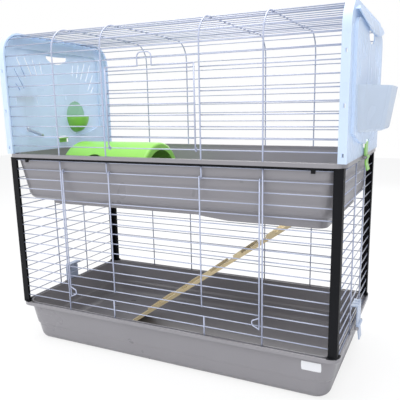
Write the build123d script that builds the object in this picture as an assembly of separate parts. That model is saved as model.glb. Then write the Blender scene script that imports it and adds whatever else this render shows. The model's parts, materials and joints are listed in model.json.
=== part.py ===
from build123d import *
import math
import os

os.makedirs("parts", exist_ok=True)

# Two storey rabbit cage on a plastic tray, in millimetres.
# X runs along the length, the front is at -Y, Z is up and the floor is Z = 0.

# Overall plan of both trays
CAGE_LENGTH = 1000.0
CAGE_DEPTH = 500.0

# Trays
RIM_CORNER_R = 30.0
LIP_HEIGHT = 10.0
GROOVE_OUTER_INSET = 3.5
BODY_TOP_INSET = 11.5
GROOVE_DEPTH = 6.5
TRAY_WALL = 3.0
TRAY_FLOOR = 5.0
BODY_CORNER_R = 40.0
DRAFT_SLOPE = math.tan(math.radians(8.0))
LOWER_TRAY_DEPTH = 130.0
SHOULDER_DROP = 73.0
SHOULDER_STEP = 3.0
SHOULDER_HEIGHT = 6.0
LOWER_BOTTOM_R = 25.0
UPPER_BODY_DEPTH = 140.0
UPPER_BOTTOM_R = 28.0
UPPER_FLOOR = 4.0
SKIRT_HEIGHT = 10.0
SKIRT_LEFT_INSET = 110.0
SKIRT_RIGHT_INSET = 50.0
SKIRT_SIDE_INSET = 48.0
SKIRT_SINK = 2.5
SKIRT_X0 = SKIRT_LEFT_INSET - CAGE_LENGTH / 2
SKIRT_X1 = CAGE_LENGTH / 2 - SKIRT_RIGHT_INSET
SKIRT_HALF_Y = CAGE_DEPTH / 2 - SKIRT_SIDE_INSET
SKIRT_WALL = 3.0
SKIRT_CORNER_R = 25.0
HATCH_END_INSET = 105.0
HATCH_LENGTH = 160.0
WELL_DROP = 20.0
WELL_START = 135.0
WELL_SLOPE = 100.0
HATCH_X1 = CAGE_LENGTH / 2 - HATCH_END_INSET
HATCH_X0 = HATCH_X1 - HATCH_LENGTH
HATCH_HALF_Y = 75.0
HATCH_CORNER_R = 12.0

# Wires
ROW_R = 1.5
VERTICAL_R = 2.0
WELD_SINK = 0.8
ROW_PITCH = 28.44
WIRE_INSET = 9.5
LOWER_ROW_COUNT = 17
DOOR_TOP_ROW = 1
DOOR_BOTTOM_ROW = LOWER_ROW_COUNT - 3
OUTER_VERTICAL_X = 306.0
INNER_VERTICAL_X = 144.0
SIDE_VERTICAL_Y = 72.0

# Corner posts and top rails
POST_INSET = 5.7
POST_LEG = 22.0
POST_THICK = 7.0
POST_CORNER_R = 3.0
POST_SLOT_DEPTH = 10.0
SLOT_CLEARANCE = 0.2
FOOT_INSET = 1.0
FOOT_LEG = 29.0
FOOT_WIDTH = 16.0
FOOT_THICK = 3.5
RAIL_HEIGHT = 5.96
RAIL_END_GAP = 0.3
RAIL_HALF_LENGTH = CAGE_LENGTH / 2 - POST_INSET - POST_LEG - RAIL_END_GAP
RAIL_INSET = 3.0
RAIL_WIDTH = 8.0
RAIL_Y_OUT = CAGE_DEPTH / 2 - RAIL_INSET
RAIL_Y_IN = RAIL_Y_OUT - RAIL_WIDTH
RAIL_TAB_INSET = 45.0
RAIL_TAB_X = RAIL_HALF_LENGTH - RAIL_TAB_INSET
RAIL_TAB_WIDTH = 10.0
RAIL_TAB_DROP = 13.5

# Levels of the lower storey
LOWER_RIM_Z = LOWER_TRAY_DEPTH
BOTTOM_ROW_Z = LOWER_RIM_Z - GROOVE_DEPTH + ROW_R
LOWER_TOP_ROW_Z = BOTTOM_ROW_Z + (LOWER_ROW_COUNT - 1) * ROW_PITCH
UPPER_RIM_Z = LOWER_TOP_ROW_Z + ROW_R + RAIL_HEIGHT + LIP_HEIGHT

# Doors
PIVOT_GAP = 0.4
EYE_R = 1.8
LOWER_DOOR_SIDE_GAP = 7.5
LOWER_DOOR_LEFT_X = LOWER_DOOR_SIDE_GAP - OUTER_VERTICAL_X
LOWER_DOOR_RIGHT_X = OUTER_VERTICAL_X - LOWER_DOOR_SIDE_GAP
LOWER_DOOR_BAR_GAP = 5.5
LOWER_DOOR_INNER_X = INNER_VERTICAL_X - LOWER_DOOR_BAR_GAP
FINGER_LOOP_REACH = 19.0
LOOP_R = 1.7
FINGER_LOOP_RISE = 22.0
FINGER_LOOP_DROP = 9.0
UPPER_DOOR_SIDE_GAP = 13.5
UPPER_DOOR_HALF_X = INNER_VERTICAL_X - UPPER_DOOR_SIDE_GAP
UPPER_DOOR_TOP_GAP = 9.48
UPPER_DOOR_FIRST_ROW = 2
UPPER_DOOR_LAST_ROW = 8
TONGUE_X0 = -30.0
TONGUE_X1 = 12.0
TONGUE_RISE = 33.0

# Upper wire cage
UPPER_FIRST_ROW_Z = UPPER_RIM_Z - GROOVE_DEPTH + ROW_R + 0.5
UPPER_STRAIGHT = 288.0
BEND_START_Z = UPPER_FIRST_ROW_Z + UPPER_STRAIGHT
BEND_R = 60.0
FRONT_FLAT_MIN = 6.0
REAR_FLAT_MIN = 60.0
BEND_END_LENGTH = UPPER_STRAIGHT + BEND_R * math.pi / 2
FRONT_LAST_ROW = math.ceil((BEND_END_LENGTH + FRONT_FLAT_MIN) / ROW_PITCH)
REAR_LAST_ROW = math.ceil((BEND_END_LENGTH + REAR_FLAT_MIN) / ROW_PITCH)
CUT_FIRST_ROW = UPPER_DOOR_FIRST_ROW
CUT_LAST_ROW = UPPER_DOOR_LAST_ROW
UPPER_DOOR_TOP_Z = UPPER_FIRST_ROW_Z + UPPER_DOOR_LAST_ROW * ROW_PITCH + UPPER_DOOR_TOP_GAP
GROOVE_ROW_INSET = 18.0
GROOVE_ROW_HALF_X = CAGE_LENGTH / 2 - GROOVE_ROW_INSET
ROOF_ROW_PITCH = 28.5
ROOF_ROW_START = 7.6
ROOF_ROW_MARGIN = 6.0
ROOF_SIDE_GAP = 3.0
ROOF_WIRE_SHIFT = 5.0
HOOK_GAP = 0.1

# End panels
PANEL_FLANGE = 20.0
PANEL_SLOT_LAND = 10.0
PANEL_OUTER_X = CAGE_LENGTH / 2
PANEL_FLANGE_X = PANEL_OUTER_X - PANEL_FLANGE
ROOF_HALF_X = PANEL_FLANGE_X - ROOF_SIDE_GAP
PANEL_SKIN = 3.0
PANEL_OUTSET = 7.0
PANEL_INSET = 3.5
PANEL_SLOT_X = PANEL_OUTER_X - PANEL_SLOT_LAND
FIELD_RISE = 7.0
FIELD_MARGIN = -30.0
FIELD_SIDE_Z = UPPER_RIM_Z + 67.5
FIELD_MID_Z = UPPER_RIM_Z + 29.5
FIELD_ARC_INSET = 29.5
FIELD_ARC_HALF_Y = CAGE_DEPTH / 2 - FIELD_ARC_INSET
HOOD_REACH = 15.0
HOOD_EDGE_INSET = 7.0
HOOD_SIDE_Z = BEND_START_Z + 40.0
HOOD_MID_Z = BEND_START_Z + 15.0
HOOD_FULL_Z = BEND_START_Z + 24.0
HOOD_TOP_REACH = 3.5
HAND_HALF_Y = 49.0
HAND_TOP_Z = BEND_START_Z + 20.0
HAND_SIDE_Z = BEND_START_Z + 7.0
HAND_LOW_Z = BEND_START_Z - 10.0
VENT_WIDTH = 5.0
VENTS = [
    (170.0, -5.0, 178.0, -43.0),
    (140.0, -1.0, 156.0, -49.0),
    (107.0, 4.0, 134.0, -53.0),
    (76.0, 1.0, 106.0, -59.0),
    (62.0, -32.0, 97.0, -91.0),
    (63.0, -75.0, 81.0, -98.0),
]
PEEP_WIDTH = 4.0
PEEPS = [(58.0, -126.0, 20.0), (148.0, -126.0, 20.0), (282.0, -117.0, 12.0)]
LATCH_RISES = (18.5, 125.5, 239.5)
LATCH_INSET = 9.0
LATCH_WIDTH = 4.0
LATCH_HEIGHT = 9.0
CLIP_SLOT_HALF_Y = 23.0
CLIP_SLOT_Z0 = UPPER_RIM_Z + 18.5
CLIP_SLOT_Z1 = UPPER_RIM_Z + 39.5

# Hay hopper on the right end panel
HOPPER_BOTTOM_Z = UPPER_RIM_Z + 64.5
HOPPER_HEIGHT = 107.0
HOPPER_TOP_Z = HOPPER_BOTTOM_Z + HOPPER_HEIGHT
HOPPER_HALF_Y = CAGE_DEPTH / 2 - 62.0
HOPPER_TOP = [(0.0, HOPPER_HALF_Y), (14.0, HOPPER_HALF_Y - 16.0), (61.0, 65.0)]
HOPPER_BOTTOM = [(0.0, HOPPER_HALF_Y - 22.0), (9.0, HOPPER_HALF_Y - 36.0), (45.0, 58.0)]
HOPPER_WALL = 2.5

# Swivel feeder on the left end panel
FEEDER_INSET = 172.0
FEEDER_Y = CAGE_DEPTH / 2 - FEEDER_INSET
FEEDER_HALF_W = 46.0
FEEDER_RIM_Z = UPPER_RIM_Z + 105.5
FEEDER_RISE = 49.0
FEEDER_DROP = 57.0
FEEDER_PLATE = 2.5
BOWL_WALL = 2.0
WINDOW_GAP = 1.0
FEEDER_PIN_R = 1.6

# Water bottle outside the left end panel
BOTTLE_OUT = 45.0
BOTTLE_INSET = 98.0
BOTTLE_X = -PANEL_OUTER_X - BOTTLE_OUT
BOTTLE_Y = BOTTLE_INSET - CAGE_DEPTH / 2
BOTTLE_R = 32.0
BOTTLE_Z0 = UPPER_RIM_Z + 108.5
BOTTLE_HEIGHT = 152.0
BOTTLE_Z1 = BOTTLE_Z0 + BOTTLE_HEIGHT
CAP_R = 20.0
CAP_HEIGHT = 20.0
NECK_R = 14.0
SPOUT_R = 4.5
SPOUT_BEND_Z = BOTTLE_Z0 - 28.0
SPOUT_REACH = 53.0
SPOUT_TIP_X = SPOUT_REACH - PANEL_OUTER_X
SPOUT_TIP_Z = BOTTLE_Z0 - 59.0
SPOUT_HOLE_R = 6.5
CRADLE_Z0 = BOTTLE_Z0 + 46.0
CRADLE_HEIGHT = 16.0
CRADLE_Z1 = CRADLE_Z0 + CRADLE_HEIGHT
CRADLE_WALL = 3.0
CRADLE_GAP = 0.6

# Spring clips on the short sides
CLIP_PIN_R = 2.0
CLIP_BORE_GAP = 0.35
CLIP_BARREL_R = 4.8
CLIP_PIN_OUT = 7.0
CLIP_PIN_X = PANEL_OUTER_X + CLIP_PIN_OUT
EAR_WIDTH = 4.5
EAR_GAP = 0.5
CLIP_ARM = 3.0
CLIP_ARM_OUT = 3.2
CLIP_ARM_X = PANEL_OUTER_X + CLIP_ARM_OUT
GREEN_PIN_Z = UPPER_RIM_Z - 6.0
GREEN_HALF_Y = 20.0
GREEN_TOP_Z = UPPER_RIM_Z + 33.5
GREEN_NOSE_IN = 5.0
GREEN_NOSE_X = PANEL_OUTER_X - GREEN_NOSE_IN
GREEN_LOW_Z = UPPER_RIM_Z - 39.5
BLUE_PIN_Z = LOWER_RIM_Z - 6.0
BLUE_HALF_Y = 30.0
BLUE_FINGER_GAP = 0.9
BLUE_FINGER_ROW = LOWER_ROW_COUNT - 3
BLUE_FINGER_Z = LOWER_TOP_ROW_Z - BLUE_FINGER_ROW * ROW_PITCH + ROW_R + BLUE_FINGER_GAP
BLUE_FINGER_IN = 3.5
BLUE_FINGER_X = CAGE_LENGTH / 2 - WIRE_INSET - BLUE_FINGER_IN
BLUE_LOW_Z = LOWER_RIM_Z - 44.0
CLIP_TAIL_OUT = 5.0

# Ramp
RAMP_WIDTH = 135.0
RAMP_THICK = 9.0
RAMP_RUN = 637.0
RAMP_HATCH_GAP = 13.0
RAMP_TOP_X = HATCH_X1 - RAMP_HATCH_GAP
RAMP_FOOT_X = RAMP_TOP_X - RAMP_RUN
RAMP_FOOT_GAP = 0.5
RAMP_TOP_DROP = 4.5
RAMP_TOP_Z = UPPER_RIM_Z - UPPER_BODY_DEPTH - RAMP_TOP_DROP
BATTEN_HEIGHT = 8.0
BATTEN_WIDTH = 30.0
BATTEN_START = 127.0
BATTEN_FIRST_X = RAMP_FOOT_X + BATTEN_START
BATTEN_PITCH_X = 99.4
BATTEN_COUNT = 5
HOOK_R = 1.5
HOOK_Y = 45.0
HOOK_REST = 6.0
HOOK_REST_X = HATCH_X1 + HOOK_REST

# Hide
HIDE_END_GAP = 62.0
HIDE_LENGTH = 322.0
HIDE_X0 = HIDE_END_GAP - CAGE_LENGTH / 2
HIDE_X1 = HIDE_X0 + HIDE_LENGTH
HIDE_BACK_ROUND = 28.0
HIDE_DOOR_ROUND = 8.0
HIDE_HALF_Y = 115.0
HIDE_SPRING = 43.0
HIDE_WALL = 3.0
HIDE_GAP = 0.4
HIDE_DOOR_HALF = 92.0
HIDE_DOOR_SIDE = 43.0
FRONT_DOOR_START = 133.0
FRONT_DOOR_X = HIDE_X0 + FRONT_DOOR_START
FRONT_DOOR_HALF = 48.0
FRONT_DOOR_SIDE = 77.0

# Derived levels and planes
WIRE_Y = CAGE_DEPTH / 2 - WIRE_INSET
WIRE_X = CAGE_LENGTH / 2 - WIRE_INSET
WELD_STEP = ROW_R + VERTICAL_R - WELD_SINK
POST_END_X = CAGE_LENGTH / 2 - POST_INSET - POST_SLOT_DEPTH - 2.0
POST_END_Y = CAGE_DEPTH / 2 - POST_INSET - POST_SLOT_DEPTH - 2.0
RING_R = ROW_R + PIVOT_GAP + VERTICAL_R
DOOR_VERTICAL_Y = WIRE_Y + RING_R
DOOR_ROW_Y = DOOR_VERTICAL_Y - WELD_STEP
BEND_CENTRE_Y = WIRE_Y - BEND_R
ROOF_Z = BEND_START_Z + BEND_R
SKIN_X = PANEL_OUTER_X + FIELD_RISE
UPPER_FLOOR_Z = UPPER_RIM_Z - UPPER_BODY_DEPTH + UPPER_FLOOR


def block(x0, x1, y0, y1, z0, z1):
    """Return an axis aligned box between two corners."""
    centre = Pos((x0 + x1) / 2, (y0 + y1) / 2, (z0 + z1) / 2)
    return centre * Box(abs(x1 - x0), abs(y1 - y0), abs(z1 - z0))


def rod(start, end, radius):
    """Return a round rod between two points."""
    a = Vector(*start)
    b = Vector(*end)
    plane = Plane(origin=a, z_dir=(b - a).normalized())
    return Solid.make_cylinder(radius, (b - a).length, plane)


def bent_rod(points, bend, radius):
    """Return a round rod that follows a polyline with rounded bends."""
    path = FilletPolyline(*points, radius=bend)
    plane = Plane(origin=path @ 0, z_dir=path % 0)
    return sweep(plane * Circle(radius), path=path)


def weld(rods):
    """Return the rods joined where they cross."""
    return rods[0].fuse(*rods[1:])


def plan(inset, corner, z):
    """Return the tray outline set in by a distance at a height."""
    return Pos(0, 0, z) * RectangleRounded(CAGE_LENGTH - 2 * inset, CAGE_DEPTH - 2 * inset, corner)


def tray_shell(rim_z, steps, floor, bottom_r):
    """Return an open tray with a grooved rim; steps list drop below the rim and inset."""
    wall = TRAY_WALL
    rim = extrude(plan(0, RIM_CORNER_R, rim_z - LIP_HEIGHT), amount=LIP_HEIGHT)
    groove_r = RIM_CORNER_R - GROOVE_OUTER_INSET
    groove = extrude(plan(GROOVE_OUTER_INSET, groove_r, rim_z - GROOVE_DEPTH), amount=GROOVE_DEPTH)
    core = extrude(plan(BODY_TOP_INSET, BODY_CORNER_R, rim_z - LIP_HEIGHT), amount=LIP_HEIGHT)
    rim = rim - (groove - core)
    opening = plan(BODY_TOP_INSET + wall, BODY_CORNER_R - wall, rim_z - LIP_HEIGHT)
    outside = loft([plan(inset, BODY_CORNER_R, rim_z - drop) for drop, inset in steps], ruled=True)
    outside = fillet(outside.faces().sort_by(Axis.Z)[0].edges(), bottom_r)
    inner_steps = list(steps[:-1])
    last_drop, last_inset = steps[-1]
    inner_steps.append((last_drop - floor, last_inset - floor * DRAFT_SLOPE))
    sections = []
    for drop, inset in inner_steps:
        sections.append(plan(inset + wall, BODY_CORNER_R - wall, rim_z - drop))
    inside = loft(sections, ruled=True)
    inside = fillet(inside.faces().sort_by(Axis.Z)[0].edges(), bottom_r - wall)
    return rim + outside - extrude(opening, amount=LIP_HEIGHT) - inside


def ears(side, pin_z, half_y):
    """Return the two ears that carry a clip pin on a short side of a rim."""
    pieces = []
    for sign in (-1, 1):
        y0 = sign * (half_y + EAR_GAP)
        y1 = sign * (half_y + EAR_GAP + EAR_WIDTH)
        ear = block(side * (CAGE_LENGTH / 2 - 2), side * CLIP_PIN_X, y0, y1, pin_z - 4, pin_z + 4)
        nose = rod((side * CLIP_PIN_X, y0, pin_z), (side * CLIP_PIN_X, y1, pin_z), 4.0)
        hole = rod((side * CLIP_PIN_X, y0 - sign, pin_z), (side * CLIP_PIN_X, y1 + sign, pin_z), CLIP_PIN_R)
        pieces.append(ear.fuse(nose).cut(hole))
    return pieces


def lower_tray():
    """Return the deep tray that stands on the floor."""
    shoulder = BODY_TOP_INSET + (SHOULDER_DROP - LIP_HEIGHT) * DRAFT_SLOPE
    below = shoulder + SHOULDER_STEP
    bottom = below + (LOWER_TRAY_DEPTH - SHOULDER_DROP - SHOULDER_HEIGHT) * DRAFT_SLOPE
    steps = [
        (LIP_HEIGHT, BODY_TOP_INSET),
        (SHOULDER_DROP, shoulder),
        (SHOULDER_DROP + SHOULDER_HEIGHT, below),
        (LOWER_TRAY_DEPTH, bottom),
    ]
    shell = tray_shell(LOWER_RIM_Z, steps, TRAY_FLOOR, LOWER_BOTTOM_R)
    for side in (-1, 1):
        shell = shell + ears(side, BLUE_PIN_Z, BLUE_HALF_Y)
    return shell


def upper_tray():
    """Return the upper tray with its foot skirt and the hatch for the ramp."""
    bottom = BODY_TOP_INSET + (UPPER_BODY_DEPTH - LIP_HEIGHT) * DRAFT_SLOPE
    steps = [(LIP_HEIGHT, BODY_TOP_INSET), (UPPER_BODY_DEPTH, bottom)]
    shell = tray_shell(UPPER_RIM_Z, steps, UPPER_FLOOR, UPPER_BOTTOM_R)
    base_z = UPPER_RIM_Z - UPPER_BODY_DEPTH
    mid_x = (SKIRT_X0 + SKIRT_X1) / 2
    long_x = SKIRT_X1 - SKIRT_X0
    outer = RectangleRounded(long_x, 2 * SKIRT_HALF_Y, SKIRT_CORNER_R)
    thin = 2 * SKIRT_WALL
    inner = RectangleRounded(long_x - thin, 2 * SKIRT_HALF_Y - thin, SKIRT_CORNER_R - SKIRT_WALL)
    skirt = extrude(Pos(mid_x, 0, base_z - SKIRT_HEIGHT) * (outer - inner), amount=SKIRT_HEIGHT + SKIRT_SINK)
    well_x = HATCH_X0 - WELL_START
    mid_x = (well_x + SKIRT_X1) / 2
    long_x = SKIRT_X1 - well_x
    outer = RectangleRounded(long_x, 2 * SKIRT_HALF_Y, SKIRT_CORNER_R)
    inner = RectangleRounded(long_x - thin, 2 * SKIRT_HALF_Y - thin, SKIRT_CORNER_R - SKIRT_WALL)
    well = extrude(Pos(mid_x, 0, base_z - WELL_DROP) * (outer - inner), amount=WELL_DROP + SKIRT_SINK)
    slope = Wire.make_polygon([
        (well_x - 1, -SKIRT_HALF_Y - 1, base_z - SKIRT_HEIGHT),
        (well_x + WELL_SLOPE, -SKIRT_HALF_Y - 1, base_z - WELL_DROP),
        (well_x + WELL_SLOPE, -SKIRT_HALF_Y - 1, base_z - WELL_DROP - 1),
        (well_x - 1, -SKIRT_HALF_Y - 1, base_z - WELL_DROP - 1),
    ], close=True)
    well = well - extrude(Sketch() + Face(slope), amount=2 * SKIRT_HALF_Y + 2, dir=(0, 1, 0))
    shell = shell + skirt + well
    hatch = RectangleRounded(HATCH_X1 - HATCH_X0, 2 * HATCH_HALF_Y, HATCH_CORNER_R)
    hatch_mid = (HATCH_X0 + HATCH_X1) / 2
    shell = shell - extrude(Pos(hatch_mid, 0, base_z - 1) * hatch, amount=UPPER_FLOOR + 2)
    for side in (-1, 1):
        shell = shell + ears(side, GREEN_PIN_Z, GREEN_HALF_Y)
    return shell


def corner_post(sx, sy):
    """Return one black corner post with its foot on the lower rim."""
    top = UPPER_RIM_Z - LIP_HEIGHT
    height = top - LOWER_RIM_Z
    slot_mid = WIRE_INSET - POST_INSET
    half = ROW_R + SLOT_CLEARANCE
    start = POST_LEG - POST_SLOT_DEPTH
    leg_x = block(0, POST_LEG, 0, POST_THICK, 0, height)
    leg_y = block(0, POST_THICK, 0, POST_LEG, 0, height)
    post = leg_x + leg_y
    post = fillet(post.edges().filter_by(Axis.Z).sort_by_distance((0, 0, height / 2))[0], POST_CORNER_R)
    post = post - block(start, POST_LEG + 1, slot_mid - half, slot_mid + half, FOOT_THICK, height + 1)
    post = post - block(slot_mid - half, slot_mid + half, start, POST_LEG + 1, FOOT_THICK, height + 1)
    lead = FOOT_INSET - POST_INSET
    foot = block(lead, lead + FOOT_LEG, lead, lead + FOOT_WIDTH, 0, FOOT_THICK)
    foot = foot + block(lead, lead + FOOT_WIDTH, lead, lead + FOOT_LEG, 0, FOOT_THICK)
    foot = fillet(foot.edges().filter_by(Axis.Z).sort_by_distance((lead, lead, 0))[0], RIM_CORNER_R - 6)
    post = post + foot
    if sx > 0:
        post = mirror(post, about=Plane.YZ)
    if sy > 0:
        post = mirror(post, about=Plane.XZ)
    corner_x = sx * (CAGE_LENGTH / 2 - POST_INSET)
    corner_y = sy * (CAGE_DEPTH / 2 - POST_INSET)
    return Pos(corner_x, corner_y, LOWER_RIM_Z) * post


def top_rail(sy):
    """Return the black rail between the top frame wire and the upper tray rim."""
    z0 = LOWER_TOP_ROW_Z + ROW_R
    z1 = UPPER_RIM_Z - LIP_HEIGHT
    rail = block(-RAIL_HALF_LENGTH, RAIL_HALF_LENGTH, sy * RAIL_Y_OUT, sy * RAIL_Y_IN, z0, z1)
    for side in (-1, 1):
        x0 = side * RAIL_TAB_X - RAIL_TAB_WIDTH / 2
        x1 = side * RAIL_TAB_X + RAIL_TAB_WIDTH / 2
        rail = rail + block(x0, x1, sy * (RAIL_Y_OUT + 1.5), sy * (RAIL_Y_OUT - 2), z1 - RAIL_TAB_DROP, z1)
    return rail


def lower_row_z(index):
    """Return the height of a lower row counted from the top frame wire."""
    return LOWER_TOP_ROW_Z - index * ROW_PITCH


def lower_front_panel():
    """Return the fixed front wire panel around the large door."""
    y_row = -WIRE_Y
    y_vertical = -WIRE_Y - WELD_STEP
    rods = []
    for index in range(LOWER_ROW_COUNT):
        z = lower_row_z(index)
        if DOOR_TOP_ROW < index < DOOR_BOTTOM_ROW:
            for side in (-1, 1):
                rods.append(rod((side * OUTER_VERTICAL_X, y_row, z), (side * POST_END_X, y_row, z), ROW_R))
        else:
            rods.append(rod((-POST_END_X, y_row, z), (POST_END_X, y_row, z), ROW_R))
    top = LOWER_TOP_ROW_Z + 1
    low = lower_row_z(LOWER_ROW_COUNT - 1) - 1
    for side in (-1, 1):
        x = side * OUTER_VERTICAL_X
        rods.append(rod((x, y_vertical, low), (x, y_vertical, top), VERTICAL_R))
        x = side * INNER_VERTICAL_X
        stub = lower_row_z(DOOR_TOP_ROW) - 1
        rods.append(rod((x, y_vertical, stub), (x, y_vertical, top), VERTICAL_R))
        stub = lower_row_z(DOOR_BOTTOM_ROW) + 1
        rods.append(rod((x, y_vertical, low), (x, y_vertical, stub), VERTICAL_R))
    return weld(rods)


def lower_rear_panel():
    """Return the rear wire panel of the lower storey."""
    rods = []
    for index in range(LOWER_ROW_COUNT):
        z = lower_row_z(index)
        rods.append(rod((-POST_END_X, WIRE_Y, z), (POST_END_X, WIRE_Y, z), ROW_R))
    top = LOWER_TOP_ROW_Z + 1
    low = lower_row_z(LOWER_ROW_COUNT - 1) - 1
    for x in (-OUTER_VERTICAL_X, -INNER_VERTICAL_X, INNER_VERTICAL_X, OUTER_VERTICAL_X):
        rods.append(rod((x, WIRE_Y + WELD_STEP, low), (x, WIRE_Y + WELD_STEP, top), VERTICAL_R))
    return weld(rods)


def lower_side_panel(side):
    """Return the wire panel of one short side of the lower storey."""
    x_row = side * WIRE_X
    x_vertical = side * (WIRE_X + WELD_STEP)
    rods = []
    for index in range(LOWER_ROW_COUNT):
        z = lower_row_z(index)
        rods.append(rod((x_row, -POST_END_Y, z), (x_row, POST_END_Y, z), ROW_R))
    top = LOWER_TOP_ROW_Z + 1
    low = lower_row_z(LOWER_ROW_COUNT - 1) - 1
    for y in (-SIDE_VERTICAL_Y, SIDE_VERTICAL_Y):
        rods.append(rod((x_vertical, y, low), (x_vertical, y, top), VERTICAL_R))
    return weld(rods)


def pivot_eye(x, z):
    """Return a wire eye that turns on a row of the front plane."""
    plane = Plane(origin=(x, -WIRE_Y, z), z_dir=(1, 0, 0))
    return Solid.make_torus(RING_R, EYE_R, plane)


def lower_door():
    """Return the large front door that hangs from a row of the lower storey."""
    hinge_z = lower_row_z(DOOR_TOP_ROW)
    y = -DOOR_VERTICAL_Y
    uprights = (LOWER_DOOR_LEFT_X, -LOWER_DOOR_INNER_X, LOWER_DOOR_INNER_X, LOWER_DOOR_RIGHT_X)
    rods = []
    for x in uprights:
        low = lower_row_z(DOOR_BOTTOM_ROW - 1) - 1
        if abs(x) > OUTER_VERTICAL_X - 20:
            low = lower_row_z(DOOR_BOTTOM_ROW) - FINGER_LOOP_DROP
        rods.append(rod((x, y, low), (x, y, hinge_z), VERTICAL_R))
        rods.append(pivot_eye(x, hinge_z))
    for index in range(DOOR_TOP_ROW + 1, DOOR_BOTTOM_ROW):
        z = lower_row_z(index)
        start = (LOWER_DOOR_LEFT_X, -DOOR_ROW_Y, z)
        end = (LOWER_DOOR_RIGHT_X, -DOOR_ROW_Y, z)
        rods.append(rod(start, end, ROW_R))
    for x, sign in ((LOWER_DOOR_LEFT_X, 1), (LOWER_DOOR_RIGHT_X, -1)):
        far = x + sign * FINGER_LOOP_REACH
        high = lower_row_z(DOOR_BOTTOM_ROW) + FINGER_LOOP_RISE
        low = lower_row_z(DOOR_BOTTOM_ROW) - FINGER_LOOP_DROP + LOOP_R
        mid = (high + low) / 2
        points = [(x, y, high), (far, y, mid + 6), (far, y, mid - 6), (x, y, low)]
        rods.append(bent_rod(points, 5.0, LOOP_R))
    return weld(rods)


def sheet_point(length, offset):
    """Return y and z at a developed length up the front sheet, moved out by an offset."""
    straight = BEND_START_Z - UPPER_FIRST_ROW_Z
    arc = BEND_R * math.pi / 2
    if length <= straight:
        return -WIRE_Y - offset, UPPER_FIRST_ROW_Z + length
    if length <= straight + arc:
        angle = (length - straight) / BEND_R
        reach = BEND_R + offset
        return -BEND_CENTRE_Y - reach * math.cos(angle), BEND_START_Z + reach * math.sin(angle)
    return -BEND_CENTRE_Y + length - straight - arc, ROOF_Z + offset


def sheet_wire(x, sy, last):
    """Return one upright of an upper sheet, bent over at the top."""
    reach = BEND_R + WELD_STEP
    y0 = -WIRE_Y - WELD_STEP
    end_y, end_z = sheet_point(last * ROW_PITCH, WELD_STEP)
    start = Vector(x, y0, UPPER_FIRST_ROW_Z - 1)
    knee = Vector(x, y0, BEND_START_Z)
    crest = Vector(x, y0 + reach, BEND_START_Z + reach)
    slant = reach * math.sqrt(0.5)
    middle = Vector(x, y0 + reach - slant, BEND_START_Z + slant)
    end = Vector(x, end_y + 1, end_z)
    path = Wire([Edge.make_line(start, knee), Edge.make_three_point_arc(knee, middle, crest),
                 Edge.make_line(crest, end)])
    wire = sweep(Plane(origin=start, z_dir=(0, 0, 1)) * Circle(VERTICAL_R), path=path)
    if sy > 0:
        wire = mirror(wire, about=Plane.XZ)
    return wire


def upper_sheet(sy, last, with_door):
    """Return the front or rear sheet of the upper storey."""
    rods = []
    for index in range(last + 1):
        y, z = sheet_point(index * ROW_PITCH, 0)
        y = -sy * y
        half = GROOVE_ROW_HALF_X if index == 0 else PANEL_SLOT_X
        if with_door and CUT_FIRST_ROW <= index <= CUT_LAST_ROW:
            for side in (-1, 1):
                rods.append(rod((side * INNER_VERTICAL_X, y, z), (side * half, y, z), ROW_R))
        else:
            rods.append(rod((-half, y, z), (half, y, z), ROW_R))
    for x in (-OUTER_VERTICAL_X, -INNER_VERTICAL_X, INNER_VERTICAL_X, OUTER_VERTICAL_X):
        wire = sheet_wire(x, sy, last)
        rods.extend(wire.solids())
    return weld(rods)


def roof_panel():
    """Return the middle roof sheet whose wires hook over the front and rear sheets."""
    front_y, level = sheet_point(FRONT_LAST_ROW * ROW_PITCH, 0)
    rear_y, level = sheet_point(REAR_LAST_ROW * ROW_PITCH, 0)
    rear_y = -rear_y
    hook = ROW_R + VERTICAL_R + HOOK_GAP
    top = level + hook
    rods = []
    first = front_y + ROOF_ROW_START
    count = math.floor((rear_y - ROOF_ROW_MARGIN - first) / ROOF_ROW_PITCH) + 1
    for index in range(count):
        y = first + index * ROOF_ROW_PITCH
        z = top - WELD_STEP
        rods.append(rod((-ROOF_HALF_X, y, z), (ROOF_HALF_X, y, z), ROW_R))
    for side in (-1, 1):
        for base in (OUTER_VERTICAL_X, INNER_VERTICAL_X):
            x = side * (base - ROOF_WIRE_SHIFT)
            rods.append(rod((x, front_y, top), (x, rear_y, top), VERTICAL_R))
            for y, sign in ((front_y, -1), (rear_y, 1)):
                start = Vector(x, y, top)
                slant = hook * math.sqrt(0.5)
                middle = Vector(x, y + sign * slant, level + slant)
                end = Vector(x, y + sign * hook, level)
                tip = Vector(x, y + sign * hook, level - 4)
                path = Wire([Edge.make_three_point_arc(start, middle, end), Edge.make_line(end, tip)])
                section = Plane(origin=start, z_dir=(0, sign, 0)) * Circle(VERTICAL_R)
                rods.extend(sweep(section, path=path).solids())
    return weld(rods)


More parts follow.
